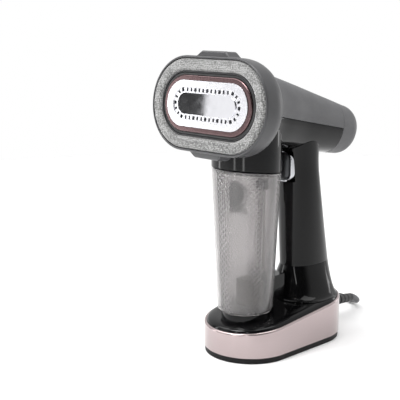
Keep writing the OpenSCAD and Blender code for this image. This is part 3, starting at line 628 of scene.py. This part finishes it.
def nickel_pins():
    # Nickel-plated brass pins: a warm silver.
    return turned_metal("nickel_plated_brass", solid("#C9C2A8"), 0.16, 0.26)


def brass_switch():
    # Plain brass case.
    return turned_metal("plain_brass", solid("#C3A462"), 0.25, 0.36)


def painted_coil():
    # Lacquered steel laminations of the pump.
    return moulded("lacquered_steel_stack", solid("#7C7F84"), 0.42, 0.7, 0.03)


def black_silicone():
    # Silicone rubber gasket: deep black and soft-edged.
    return moulded("silicone_rubber_black", solid("#131314"), 0.5, 0.6, 0.01)


def soft_rubber():
    # Flexible PVC of the sleeve, plug and tie: black, dull, with a faint grain.
    return moulded("flexible_pvc_black", solid("#17171A"), 0.46, 0.55, 0.025)


def grey_rubber():
    # Moulded rubber feet and seals.
    return moulded("moulded_rubber_grey", solid("#4A4A4C"), 0.7, 0.5, 0.04)


def cord_sheath():
    # Extruded PVC sheath: an even, fairly dull grey.
    return moulded("extruded_pvc_grey", colour("cord"), 0.44, 1.2, 0.03)


def smoked_tank():
    # Clear styrene tinted a pale smoke, moulded with six fields of fine diamonds: light goes through and breaks up.
    material, shader = start("smoked_styrene_clear")
    finish_of(shader, Base_Color=colour("tank"), IOR=PLASTIC_IOR, Transmission_Weight=0.9)
    tree = material.node_tree
    parts = add(tree, "SeparateXYZ", {"Vector": place(tree)})
    ahead = add(tree, "Math", {0: parts.outputs["Y"], 1: TANK_Y * MM}, operation="ADD")
    turn = add(tree, "Math", {0: parts.outputs["X"], 1: ahead.outputs[0]}, operation="ARCTAN2")
    columns = round(2 * math.pi * (TANK_R0 + TANK_R1) / 2 / mm("knurl_pitch"))
    across = add(tree, "Math", {0: turn.outputs[0], 1: columns / 2}, operation="MULTIPLY")
    rise = add(tree, "Math", {0: parts.outputs["Z"], 1: math.pi * per_metre(mm("knurl_pitch"))}, operation="MULTIPLY")
    waves = []
    for way in ("ADD", "SUBTRACT"):
        slant = add(tree, "Math", {0: across.outputs[0], 1: rise.outputs[0]}, operation=way)
        swing = add(tree, "Math", {0: slant.outputs[0]}, operation="SINE")
        waves.append(add(tree, "Math", {0: swing.outputs[0]}, operation="ABSOLUTE").outputs[0])
    diamond = add(tree, "Math", {0: waves[0], 1: waves[1]}, operation="MULTIPLY")
    lobes = add(tree, "Math", {0: turn.outputs[0], 1: KNURL_FIELDS}, operation="MULTIPLY")
    swell = add(tree, "Math", {0: lobes.outputs[0]}, operation="COSINE")
    field = add(tree, "MapRange", {"Value": swell.outputs[0], "From Min": -0.1, "From Max": 0.25})
    knurl = add(tree, "Math", {0: diamond.outputs[0], 1: field.outputs["Result"]}, operation="MULTIPLY")
    rough = add(tree, "MapRange", {"Value": field.outputs["Result"], "To Min": 0.11, "To Max": 0.2})
    tree.links.new(rough.outputs["Result"], shader.inputs["Roughness"])
    bump(shader, knurl.outputs[0], 0.5, 0.8)
    return material


def clear_tube():
    # Milky silicone or nylon tube: light and slightly see-through.
    material, shader = start("milky_silicone_tube")
    finish_of(shader, IOR=1.43, Transmission_Weight=0.35)
    mottle(shader, solid("#E2DFD9"), 5, 0.05)
    worn(shader, 0.3, 0.42, 6)
    return material


def filter_nylon():
    # Sintered filter block: warm grey, open and grainy.
    return moulded("sintered_filter_grey", solid("#6F6A66"), 0.75, 0.8, 0.15, 0.15)


def trigger_abs():
    # Painted ABS of the trigger: a metallic grey satin.
    return moulded("painted_abs_trigger", solid("#3C3D40"), 0.3, 0.4, 0.01, Metallic=0.55)


def silver_button():
    # Silver painted ABS key.
    return moulded("painted_abs_silver", solid("#C6C6C9"), 0.3, 0.4, 0.01, Metallic=0.7)


def light_lens():
    # Frosted acrylic light guide.
    return moulded("frosted_acrylic_lens", solid("#E6E6DE"), 0.3, 0.4, 0.01, Transmission_Weight=0.4)


def red_nylon():
    # Moulded nylon plunger.
    return moulded("moulded_nylon_red", solid("#C8342C"), 0.45, 0.5, 0.02)


def cream_nylon():
    # Moulded nylon pump body.
    return moulded("moulded_nylon_cream", solid("#D8D4C8"), 0.5, 0.6, 0.03)


def board_lacquer():
    # Glass-epoxy circuit board under green lacquer.
    return moulded("lacquered_glass_epoxy", solid("#2F6B3C"), 0.35, 1.0, 0.02)


# ---- shapes ----
def cord_route():
    """The mains cord's centre line: out of the sleeve, round nine turns, and on to the plug."""
    def sleeve(d):
        return (0, REAR + d * math.cos(RELIEF_TILT), RELIEF_Z - d * math.sin(RELIEF_TILT))

    lead = [sleeve(0), sleeve(20), sleeve(40), sleeve(49), (-3, 137, 9.5), (-13, 146, 5.4)]
    lead += [(x, 149, 3.6) for x in (-28, -45, -58, -76)]
    tail = [(-80, 156.1, 3.6), (-92, 156.1, 3.6), (-105, 157, 3.6), (-116, 160, 3.6)]
    tail += [(-125, 166.5, 4.2), (-131, 175, 6.8), (-137, 184.5, 11), (-141, 191.6, 12.8)]
    # Radius and height of each turn, from the first to the last, and where the last one leaves.
    turns = [(45, 3.6), (38, 3.6), (31, 3.6), (31, 10.6), (31, 17.6)]
    turns += [(38, 17.6), (38, 10.6), (45, 17.6), (45, 10.6), (52, 3.6)]
    coil = []
    steps = 48
    for i in range(COIL_TURNS):
        begin, end = (270, 330) if i == COIL_TURNS - 1 else (295, 338)
        for j in range(steps):
            turned = 360 * j / steps
            t = min(1, max(0, (turned - begin) / (end - begin)))
            t = t * t * (3 - 2 * t)
            r, z = lerp(turns[i][0], turns[i + 1][0], t), lerp(turns[i][1], turns[i + 1][1], t)
            a = math.radians(90 + turned)
            coil.append((COIL_X + r * math.cos(a), COIL_Y + r * math.sin(a), z))
    return smooth_line(lead, 4)[:-1] + coil + smooth_line(tail, 4)


def smooth_line(points, steps):
    """More points on a smooth curve through given points."""
    out = []
    last = len(points) - 1
    for i in range(last):
        a, b, c, d = (Vector(points[max(0, min(last, k))]) for k in (i - 1, i, i + 1, i + 2))
        for j in range(steps):
            t = j / steps
            bend = (2 * a - 5 * b + 4 * c - d) * t * t + (3 * b - a - 3 * c + d) * t**3
            out.append(tuple(0.5 * (2 * b + (c - a) * t + bend)))
    return out + [tuple(points[-1])]


def tube(line, radius, steps=16):
    """A round skin along a line that never runs straight up."""
    rings = []
    for i, p in enumerate(line):
        t = (Vector(line[min(i + 1, len(line) - 1)]) - Vector(line[max(i - 1, 0)])).normalized()
        u = t.cross(Vector((0, 0, 1))).normalized()
        v = u.cross(t)
        spokes = [radius * (math.cos(a) * u + math.sin(a) * v) for a in arc(0, 360, steps)[:-1]]
        rings.append([tuple(Vector(p) + spoke) for spoke in spokes])
    return skin(rings)


def band_shape():
    profile = [(0.5, 0.05), (0, 0.6)]
    top = [(0, -1.6), (0.12, -1.1), (0.5, -0.55), (1.1, -0.12), (1.6, 0), (2.1, -0.05), (2.4, -0.3), (2.4, -6)]
    rings = [base_ring(d, lambda y, h=h: FOOT_H + h) for d, h in profile]
    rings += [base_ring(d, lambda y, h=h: band_z(y) + h) for d, h in top]
    rings.append(base_ring(2.4, lambda y: FOOT_H + 0.05))
    return skin(rings, loop=True)


def deck_shape():
    inner = [(BAND_T + 12, 1.8), (BAND_T + 5, 0.6), (BAND_T + 2.6, -1), (BAND_T + 2.6, -7)]
    rings = [base_ring(d, lambda y, h=h: band_z(y) + h) for d, h in inner]
    rings.append(base_ring(BAND_T + 0.2, lambda y: band_z(y) - 7))
    for i in range(25):
        d = BAND_T + 0.2 + 11.8 * (i / 24) ** 1.6
        rise = through(DECK, d)[1]
        rings.append(base_ring(d, lambda y, h=rise: band_z(y) + h))
    posts = []
    r = mm("base_width") / 2
    for sx in (-1, 1):
        for sy in (-1, 1):
            x, y = sx * (r - SCREW_INSET), sy * (mm("base_length") / 2 - r - SCREW_INSET)
            posts.append(rod((x, y, 3), (x, y, band_z(y) + 2.1), 3.6))
    return joined(skin(rings), *posts)


def skirt_ring(t, inset, lift):
    """The flare from the deck to the grip, at t of its height."""
    points = []
    k = t**0.55
    front, r = SKIRT_FRONT + inset, mm("base_width") / 2
    back = mm("base_length") / 2 - BAND_T - 3 - inset
    middle = (front + back) / 2
    for a in arc(0, 360, 96)[:-1]:
        gx, gy = oval(mm("grip_half_width") - inset, grip_depth(SKIRT_Z) - inset, a, GRIP_POWER)
        fx, fy = oval(r - BAND_T - 3 - inset, (back - front) / 2, a, 0.8)
        x, y = lerp(fx, gx, k), lerp(middle + fy, grip_centre(SKIRT_Z) + gy, k)
        points.append((x, y, lerp(deck_top(fx, middle + fy) + lift, SKIRT_Z, t)))
    return points


def skirt_shape():
    wall = mm("wall")
    rings = [skirt_ring(0, 0, 0.3)] + [skirt_ring((i / 26) ** 1.5, 0, 1) for i in range(27)]
    return skin(rings + [skirt_ring((i / 12) ** 1.5, wall, 0.3) for i in range(12, -1, -1)], loop=True)


def grip_shape(side):
    rows, wall, rings = barrel_rows(), mm("wall"), []
    for i in range(41):
        t = 0.5 - 0.5 * math.cos(math.pi * i / 40)
        z_mid = lerp(SKIRT_Z, GRIP_TOP + 14, t)
        flare = 1 + 0.1 * max(0, (t - 0.78) / 0.22) ** 2
        ring = []
        for inset, angles in ((0, arc(-90, 90, 40)), (wall, arc(90, -90, 40))):
            for j, a in enumerate(angles):
                gx, gy = oval(mm("grip_half_width") * flare - inset, grip_depth(z_mid) * flare - inset, a, GRIP_POWER)
                x, y = side * (0.04 if j in (0, 40) else max(0.04, abs(gx))), grip_centre(z_mid) + gy
                ring.append((x, y, lerp(SKIRT_Z + 0.12, barrel_under(rows, x, y) - 0.35, t)))
        rings.append(ring)
    return skin(rings, ends="strips")


def box_shape(low, high):
    (a, b, c), (d, e, f) = low, high
    return skin([[(a, b, z), (d, b, z), (d, e, z), (a, e, z)] for z in (c, f)])


def neck_shape():
    rows, wall = barrel_rows(), mm("wall")

    def top(x, y):
        caps = []
        for deep, r in ((RING_DEPTH, 38.5), (RING_DEPTH + 1, 35.9)):
            z = HEAD_Z - deep * math.sin(HEAD_TILT)
            caps.append(max(z - r - 0.5, z + (y - HEAD_Y - deep * math.cos(HEAD_TILT) - 0.3) / FACE_TAN))
        return min(barrel_under(rows, x, y) - 0.4, *caps)

    rings = []
    for inset, levels in ((0, [i / 10 for i in range(11)]), (wall, [1 - i / 6 for i in range(7)])):
        r = tank_r(HEAD_Z - 55) - inset
        around = [(r * math.cos(a), -TANK_Y + r * math.sin(a)) for a in arc(0, 360, 112)[:-1]]
        for k in levels:
            rings.append([(x, y, lerp(tank_top(y) + 1.3, top(x, y), k)) for x, y in around])
    return skin(rings, loop=True)


def barrel_shape(start_angle, end_angle):
    rows, rings = barrel_rows(), []
    for i in range(57):
        row = through(rows, lerp(rows[0][0], CAP_Y - 0.1, i / 56))
        outer = barrel_arc(row, 0, arc(start_angle, end_angle, 56))
        rings.append(outer + barrel_arc(row, mm("wall"), arc(end_angle, start_angle, 56)))
    return skin(rings, ends="strips")


def cap_shape():
    rows = barrel_rows()
    angles = arc(0, 360, 88)[:-1]
    base = rows[-1]

    def dome(q, inset):
        c = math.cos(q)
        blend = min(1, math.sin(q))
        row = (base[0] + DOME_L * math.sin(q), base[1] * c, base[2] * c, base[3] * c, base[4])
        return barrel_arc(row, inset, angles, lerp(BARREL_POWER, 1, blend))

    rings = [barrel_arc(through(rows, lerp(CAP_Y + 0.1, DOME_Y, i / 8)), 0, angles) for i in range(9)]
    rings += [dome(math.radians(q), 0) for q in (6, 12, 19, 26, 33, 40, 47, 54, 60, 66, 71, 76, 80, 84, 87, 89)]
    inner = [dome(math.radians(q), 2.2) for q in (60, 40, 20)]
    inner += [barrel_arc(through(rows, lerp(DOME_Y, CAP_Y + 0.1, i / 4)), 2.2, angles) for i in range(5)]
    return skin(inner + rings)


def ring_frame_shape():
    """The ring that holds the pad: a rounded shell with a finger tab at the top and at the bottom."""
    r_out, r_in = mm("pad_height") / 2, mm("pad_height") / 2 - mm("pad_band")
    section = [
        (r_out - 4.5, -24), (r_out - 2.6, -24), (r_out - 1.2, -21.8), (r_out - 0.1, -19.2), (r_out + 0.6, -16.4),
        (r_out + 0.95, -13.6), (r_out + 1, -10), (r_out + 1, -3.4), (r_out + 0.8, -2.2), (r_out + 0.4, -1.5),
        (r_out - 0.2, -1.2), (r_out - 0.9, -1.5), (r_out - 1.3, -2.2), (r_out - 1.3, -4), (r_in + 0.8, -4),
        (r_in + 0.75, -2), (r_in + 0.5, -1.6), (r_in + 0.2, -1.6), (r_in, -2), (r_in, -5.8), (r_out - 4.5, -5.8),
    ]
    body = skin(head_sweep(section, head_half()), loop=True)
    tabs = []
    wide, deep = 48, 20
    for side in (1, -1):
        rings = []
        for i in range(wide + 1):
            x = lerp(-22, 22, i / wide)
            slope = min(1, max(0, (22 - abs(x)) / 8.4))
            high = 5.6 * slope * slope * (3 - 2 * slope)
            ring = [(side * x, side * (r_out - 0.4), -4.6), (side * x, side * (r_out - 0.4), -20)]
            for j in range(deep + 1):
                d = j / deep
                edge = min(1, 6 * d, 6 * (1 - d))
                scoop = 2.6 * max(0, 1 - ((d - 0.55) / 0.34) ** 2) * min(1, max(0, (15 - abs(x)) / 5))
                h = max(0.3, (high - scoop) * (1 - (1 - edge) ** 2 * 0.35))
                ring.append((side * x, side * (r_out + 0.4 + h), lerp(-20, -4.6, d)))
            rings.append([head_point(*p) for p in ring])
        tabs.append(skin(rings))
    return joined(body, *tabs)


def pad_shape():
    """The pad: a crowned band of cloth over foam, a little uneven where it is pulled round its edges."""
    r_out, r_in = mm("pad_height") / 2 - 1.5, mm("pad_height") / 2 - mm("pad_band") + 1
    rings = []
    path = 64
    half = head_half()
    places = []
    for side, begin in ((1, -90), (-1, 90)):
        places += [(side * half, a) for a in arc(begin, begin + 180, path)]
        places += [(side * half * (1 - 2 * k / 12), math.radians(begin + 180)) for k in range(1, 12)]
    for centre, a in places:
        ring = []
        for k in range(27):
            u = lerp(-1, 1, k / 26)
            r = lerp(r_in, r_out, (u + 1) / 2)
            x, y = centre + r * math.cos(a), r * math.sin(a)
            ripple = 0.10 * math.sin(x * 0.9 + 1.3 * math.sin(y * 0.41)) + 0.08 * math.sin(y * 1.1 + 0.7 * x)
            crown = -0.15 - 2.9 * abs(u) ** 5
            ring.append(head_point(x, y, min(0, crown + ripple * (1 - u * u))))
        for k in (1, 0.5, 0, -0.5, -1):
            r = lerp(r_in, r_out, (k + 1) / 2)
            ring.append(head_point(centre + r * math.cos(a), r * math.sin(a), -3.96))
        rings.append(ring)
    return skin(rings, loop=True)


def rounded(half_w, half_h, radius, inset, steps=10):
    """Corners of a rounded rectangle, inset, as sideways and up."""
    points = []
    r = max(0.4, radius - inset)
    for sx, sz, begin in ((1, 1, 0), (-1, 1, 90), (-1, -1, 180), (1, -1, 270)):
        for a in arc(begin, begin + 90, steps):
            across, up = sx * (half_w - inset - r), sz * (half_h - inset - r)
            points.append((across + r * math.cos(a), up + r * math.sin(a)))
    return points


def trigger_shape():
    """A rounded key with a crowned face, and the post behind it that the spring sits on."""
    middle = TRIGGER_Z + TRIGGER_H / 2
    stages = [(20.4, 0), (8.6, 0), (7.2, 0.35), (6.1, 1.1), (5.3, 2.3), (4.8, 4), (4.55, 6.2)]
    rings = [[(x, y, middle + z) for x, z in rounded(9, TRIGGER_H / 2, 7.5, inset)] for y, inset in stages]
    hollow = [[(x, y, middle + z) for x, z in rounded(9, TRIGGER_H / 2, 7.5, 2)] for y in (9, 20.4)]
    post = rod((0, TRIGGER_Y + 5, TRIGGER_Z + 12), (0, TRIGGER_Y + 14.9, TRIGGER_Z + 12), 2.2)
    return joined(skin(hollow + rings), post)


def bezel_shape():
    middle = TRIGGER_Z + TRIGGER_H / 2 - 0.7
    front, rear = 9.6, 17.4
    stages = [(1, 0, rear), (1, 0, front + 0.7), (1, 0.25, front + 0.2), (1, 0.8, front)]
    stages += [(0, -0.5, front), (0, -0.1, front + 0.3), (0, 0, rear)]
    rings = []
    for outer, inset, y in stages:
        w, h, r = (11, TRIGGER_H / 2 + 1.5, 8.6) if outer else (9.35, TRIGGER_H / 2 + 0.2, 7.5)
        lift = 0 if outer else 0.4
        rings.append([(x, y, middle + lift + z) for x, z in rounded(w, h, r, inset)])
    return skin(rings, loop=True)


# ---- the stage ----
def heading(azimuth, elevation):
    """A direction from degrees: azimuth 0 is in front and 90 on the right."""
    a, e = math.radians(azimuth), math.radians(elevation)
    return Vector((math.sin(a) * math.cos(e), -math.cos(a) * math.cos(e), math.sin(e)))


def softbox(name, aim, azimuth, elevation, distance, width, height, radiance):
    """A rectangular light that faces a point."""
    towards = heading(azimuth, elevation)
    light = bpy.data.lights.new(name, "AREA")
    light.shape, light.size, light.size_y = "RECTANGLE", width, height
    light.energy = 4 * width * height * radiance
    lamp = shown(name, light)
    lamp.location = Vector(aim) + towards * distance
    lamp.rotation_mode = "QUATERNION"
    lamp.rotation_quaternion = (-towards).to_track_quat("-Z", "Y")
    lamp.visible_camera = False


def studio():
    """A room that is pale behind and beside, dark in front where its lights stand, and white below the horizon."""
    world = bpy.data.worlds.new("studio")
    world.use_nodes = True
    tree = world.node_tree
    tree.nodes["Background"].inputs["Color"].default_value = (1, 1, 1, 1)
    way = add(tree, "TexCoord").outputs["Generated"]
    front = add(tree, "VectorMath", {0: way, 1: (0.2588, -0.9659, 0)}, operation="DOT_PRODUCT")
    fade = {"Value": front.outputs["Value"], "From Min": -0.1, "From Max": 0.4, "To Min": 1.0, "To Max": 0.06}
    pale = add(tree, "MapRange", fade, interpolation_type="SMOOTHSTEP")
    height = add(tree, "SeparateXYZ", {"Vector": way})
    horizon = {"Value": height.outputs["Z"], "From Min": -0.02, "From Max": 0.02, "To Min": 1.0, "To Max": 0.0}
    below = add(tree, "MapRange", horizon)
    mix = add(tree, "Mix", {0: below.outputs["Result"], 2: pale.outputs["Result"], 3: 1.0}, data_type="FLOAT")
    tree.links.new(mix.outputs[0], tree.nodes["Background"].inputs["Strength"])
    return world


# Where the camera stands in metres, the direction back to it in degrees, and its lens in millimetres.
EYE, EYE_AZIMUTH, EYE_ELEVATION, LENS = (0.5644, -0.6278, 0.3126), 46.784, 11.66, 81.63
# The floor lies just under the foot. Its height and its rings' radii are in metres.
FLOOR_Z, FLOOR_RINGS = -0.0002, (0.01, 0.6, 1.2)


class STEAMER_OT_stage(bpy.types.Operator):
    """Makes the camera, the pale floor and the soft studio light"""

    bl_idname = "steamer.stage"
    bl_label = "Stage"

    def execute(self, context):
        camera = bpy.data.cameras.new("camera")
        camera.lens, camera.sensor_width = LENS, 36
        eye = shown("camera", camera)
        eye.location = EYE
        eye.rotation_mode = "QUATERNION"
        eye.rotation_quaternion = (-heading(EYE_AZIMUTH, EYE_ELEVATION)).to_track_quat("-Z", "Y")
        context.scene.camera = eye

        mesh = bpy.data.meshes.new("floor")
        around = [(math.cos(t), math.sin(t)) for t in arc(0, 360, 64)[:-1]]
        points, faces = skin([[(r * x, r * y, FLOOR_Z) for x, y in around] for r in FLOOR_RINGS])
        mesh.from_pydata(points, [], faces[:-1])
        floor = shown("floor", mesh)
        material, shader = start("painted_floor_white")
        finish_of(shader, Roughness=0.6, IOR=1.4)
        mottle(shader, solid("#F6F6F6"), 300, 0.01)
        mesh.materials.append(material)

        context.scene.world = studio()
        context.scene.view_settings.view_transform = "Standard"
        head = (0, -0.09, 0.22)
        softbox("card", head, -30.7, 12, 1.3, 0.73, 0.9, 1.0)
        softbox("key", head, -12, 56, 1.5, 0.6, 0.6, 13)
        softbox("edge", (0, -0.05, 0.05), -60, 52, 1.5, 0.9, 0.5, 3.2)
        for name, azimuth, width in (("strip_far_left", -52, 0.08), ("strip_left", 6, 0.06), ("strip_front", 35, 0.06)):
            softbox(name, (0, -0.04, 0.2), azimuth, 0, 0.62, width, 0.36, 5)
        softbox("rear", (0, 0.05, 0.06), 166, 14, 0.7, 0.12, 0.3, 2.2)
        softbox("top", (0, 0, 0), 100, 85, 2.0, 1.6, 1.6, 2.2)
        return {"FINISHED"}


# ---- the pieces ----
class STEAMER_OT_cord(bpy.types.Operator):
    """Makes the mains cord, its sleeve, tie and plug"""

    bl_idname = "steamer.cord"
    bl_label = "Mains cord"

    def execute(self, context):
        line = cord_route()
        sheath = tube(line, mm("cord_diameter") / 2 - 0.03)
        cord = build("mains_cord", sheath, cord_sheath, "housing", "cord_grey", ("power_cord", "cord_coil"))
        dress(soft_rubber, "strain_relief", edge=0.35)
        dress(soft_rubber, "plug_body", edge=0.6)
        dress(soft_rubber, "cord_tie", edge=0.4)
        dress(nickel_pins, "plug_pins")
        return {"FINISHED"}


class STEAMER_OT_base(bpy.types.Operator):
    """Makes the base: foot, rose band, gloss deck and the tank's seat"""

    bl_idname = "steamer.base"
    bl_label = "Base"

    def execute(self, context):
        build("base_band_skin", band_shape(), lacquered_band, "housing", "band_metallic", ("base_band",))
        gloss = polished_black_abs
        build("base_deck_skin", deck_shape(), gloss, "housing", "gloss_black", ("base_deck",), sharp=50)
        dress(foot_abs, "base_plate", edge=0.5)
        dress(grey_rubber, "foot_pads", edge=0.4)
        dress(gloss, "tank_seat", edge=0.4)
        dress(screw_steel, "base_screws", edge=0.2)
        return {"FINISHED"}


class STEAMER_OT_handle(bpy.types.Operator):
    """Makes the flared skirt, the two halves of the grip and the dock behind the tank"""

    bl_idname = "steamer.handle"
    bl_label = "Handle"

    def execute(self, context):
        gloss = polished_black_abs
        build("skirt_skin", skirt_shape(), gloss, "housing", "gloss_black", ("skirt",), sharp=55)
        opening = box_shape((-11.1, -2, TRIGGER_Z - 2.4), (11.1, 23, TRIGGER_Z + TRIGGER_H + 1.4))
        for side, node in ((-1, "grip_left"), (1, "grip_right")):
            shell = grip_shape(side)
            half = build(node + "_skin", shell, gloss, "housing", "gloss_black", (node,), edge=0.25, sharp=55)
            cut(half, opening)
        dress(gloss, "dock", edge=0.6)
        dress(satin_dark_abs, "spigot")
        dress(grey_rubber, "spigot_seal")
        return {"FINISHED"}


class STEAMER_OT_barrel(bpy.types.Operator):
    """Makes the barrel: matt cover, gloss underside, rear cap, neck, key and light"""

    bl_idname = "steamer.barrel"
    bl_label = "Barrel"

    def execute(self, context):
        matt, gloss = textured_cover_abs, polished_black_abs
        top, under, end = barrel_shape(180, 0), barrel_shape(359.2, 180.8), cap_shape()
        rim = {"edge": 0.35, "sharp": 60}
        cover = build("barrel_cover_skin", top, matt, "housing", "cover_grey", ("barrel_cover",), **rim)
        low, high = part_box("power_button")
        y, z, r = (low.y + high.y) / 2 / MM, (low.z + high.z) / 2 / MM, (high.y - low.y) / 2 / MM
        cut(cover, rod((-60, y, z), (-10, y, z), r + 0.3))
        cut(cover, rod((-60, y - 16, z), (-10, y - 16, z), 2.2))
        build("barrel_lower_skin", under, gloss, "housing", "gloss_black", ("barrel_lower",), **rim)
        build("barrel_cap_skin", end, matt, "housing", "cover_grey", ("barrel_cap",), **rim)
        build("neck_skin", neck_shape(), gloss, "housing", "gloss_black", ("neck",), edge=0.3, sharp=60)
        dress(satin_dark_abs, "neck_floor")
        dress(silver_button, "power_button", edge=0.7)
        dress(light_lens, "button_light", edge=0.3)
        return {"FINISHED"}


class STEAMER_OT_head(bpy.types.Operator):
    """Makes the steaming head: collar, gasket, trim ring, plate and the heater behind it"""

    bl_idname = "steamer.head"
    bl_label = "Steam head"

    def execute(self, context):
        dress(satin_dark_abs, "head_collar", edge=0.4)
        dress(black_silicone, "plate_gasket", edge=0.4)
        dress(anodised_trim, "trim_ring", edge=0.3)
        dress(brushed_plate_steel, "steam_plate", edge=0.2)
        dress(polished_panel_steel, "plate_panel", edge=0.3)
        dress(cast_aluminium, "steam_chamber", "chamber_cover", edge=0.4)
        dress(screw_steel, "chamber_screws", "thermal_fuse", edge=0.2)
        dress(brass_switch, "thermostat", edge=0.4)
        return {"FINISHED"}


class STEAMER_OT_pad_ring(bpy.types.Operator):
    """Makes the ring that pulls off the head, and its cloth pad"""

    bl_idname = "steamer.pad_ring"
    bl_label = "Pad ring"

    def execute(self, context):
        ring = ring_frame_shape()
        build("ring_frame_skin", ring, satin_ring_abs, "pad_ring", "ring_grey", ("ring_frame",), edge=0.2, sharp=60)
        pad = build("cloth_pad", pad_shape(), pad_cloth, "pad_ring", "pad_felt", ("ring_pad",), sharp=120)
        return {"FINISHED"}


class STEAMER_OT_tank(bpy.types.Operator):
    """Makes the water tank with its cover, valves, filter and filler flap"""

    bl_idname = "steamer.tank"
    bl_label = "Water tank"

    def execute(self, context):
        dress(smoked_tank, "tank_shell", edge=0.5)
        dress(satin_dark_abs, "tank_lid", "outlet_valve", "vent_valve", edge=0.4)
        dress(clear_tube, "vent_tube")
        dress(filter_nylon, "tank_filter", edge=0.5)
        dress(satin_dark_abs, "filler_flap", edge=0.5)
        dress(grey_rubber, "flap_seal", edge=0.2)
        dress(screw_steel, "flap_pin")
        return {"FINISHED"}


class STEAMER_OT_trigger(bpy.types.Operator):
    """Makes the trigger, its bright bezel, spring and switch"""

    bl_idname = "steamer.trigger"
    bl_label = "Trigger"

    def execute(self, context):
        key, bezel = trigger_shape(), bezel_shape()
        build("trigger_key", key, trigger_abs, "trigger_body", "trigger_grey", ("trigger",), sharp=50)
        build("trigger_bezel", bezel, chrome_bezel, "housing", "bezel_chrome", ("trigger_trim",), sharp=60)
        dress(screw_steel, "trigger_spring")
        dress(satin_dark_abs, "switch_body", edge=0.3)
        dress(red_nylon, "switch_plunger", edge=0.2)
        return {"FINISHED"}


class STEAMER_OT_inside(bpy.types.Operator):
    """Gives the pump, board, hoses and cord clamp their finishes"""

    bl_idname = "steamer.inside"
    bl_label = "Inner parts"

    def execute(self, context):
        dress(board_lacquer, "control_board", edge=0.2)
        dress(satin_dark_abs, "board_parts", "cord_clamp", edge=0.4)
        dress(cream_nylon, "pump_body", edge=0.4)
        dress(painted_coil, "pump_coil", edge=0.4)
        dress(grey_rubber, "pump_mounts", edge=0.4)
        dress(clear_tube, "suction_hose", "pressure_hose")
        dress(screw_steel, "clamp_screws", edge=0.2)
        return {"FINISHED"}


OPERATORS = (
    STEAMER_OT_stage,
    STEAMER_OT_cord,
    STEAMER_OT_base,
    STEAMER_OT_handle,
    STEAMER_OT_barrel,
    STEAMER_OT_head,
    STEAMER_OT_pad_ring,
    STEAMER_OT_tank,
    STEAMER_OT_trigger,
    STEAMER_OT_inside,
)


class STEAMER_PT_panel(bpy.types.Panel):
    bl_idname = "STEAMER_PT_panel"
    bl_label = "Garment steamer"
    bl_space_type = "VIEW_3D"
    bl_region_type = "UI"
    bl_category = "Steamer"

    def draw(self, context):
        for group in (context.scene.steamer_sizes, context.scene.steamer_colours):
            box = self.layout.box()
            for name in type(group).__annotations__:
                box.prop(group, name)
        for operator in OPERATORS:
            self.layout.operator(operator.bl_idname)


CLASSES = (SteamerSizes, SteamerColours, *OPERATORS, STEAMER_PT_panel)


def register():
    for each in CLASSES:
        bpy.utils.register_class(each)
    bpy.types.Scene.steamer_sizes = bpy.props.PointerProperty(type=SteamerSizes)
    bpy.types.Scene.steamer_colours = bpy.props.PointerProperty(type=SteamerColours)


def unregister():
    del bpy.types.Scene.steamer_colours
    del bpy.types.Scene.steamer_sizes
    for each in reversed(CLASSES):
        bpy.utils.unregister_class(each)


def main():
    register()
    bpy.ops.steamer.stage()
    bpy.ops.steamer.cord()
    bpy.ops.steamer.base()
    bpy.ops.steamer.handle()
    bpy.ops.steamer.barrel()
    bpy.ops.steamer.head()
    bpy.ops.steamer.pad_ring()
    bpy.ops.steamer.tank()
    bpy.ops.steamer.trigger()
    bpy.ops.steamer.inside()
    bpy.context.view_layer.update()


if __name__ == "__main__":
    main()
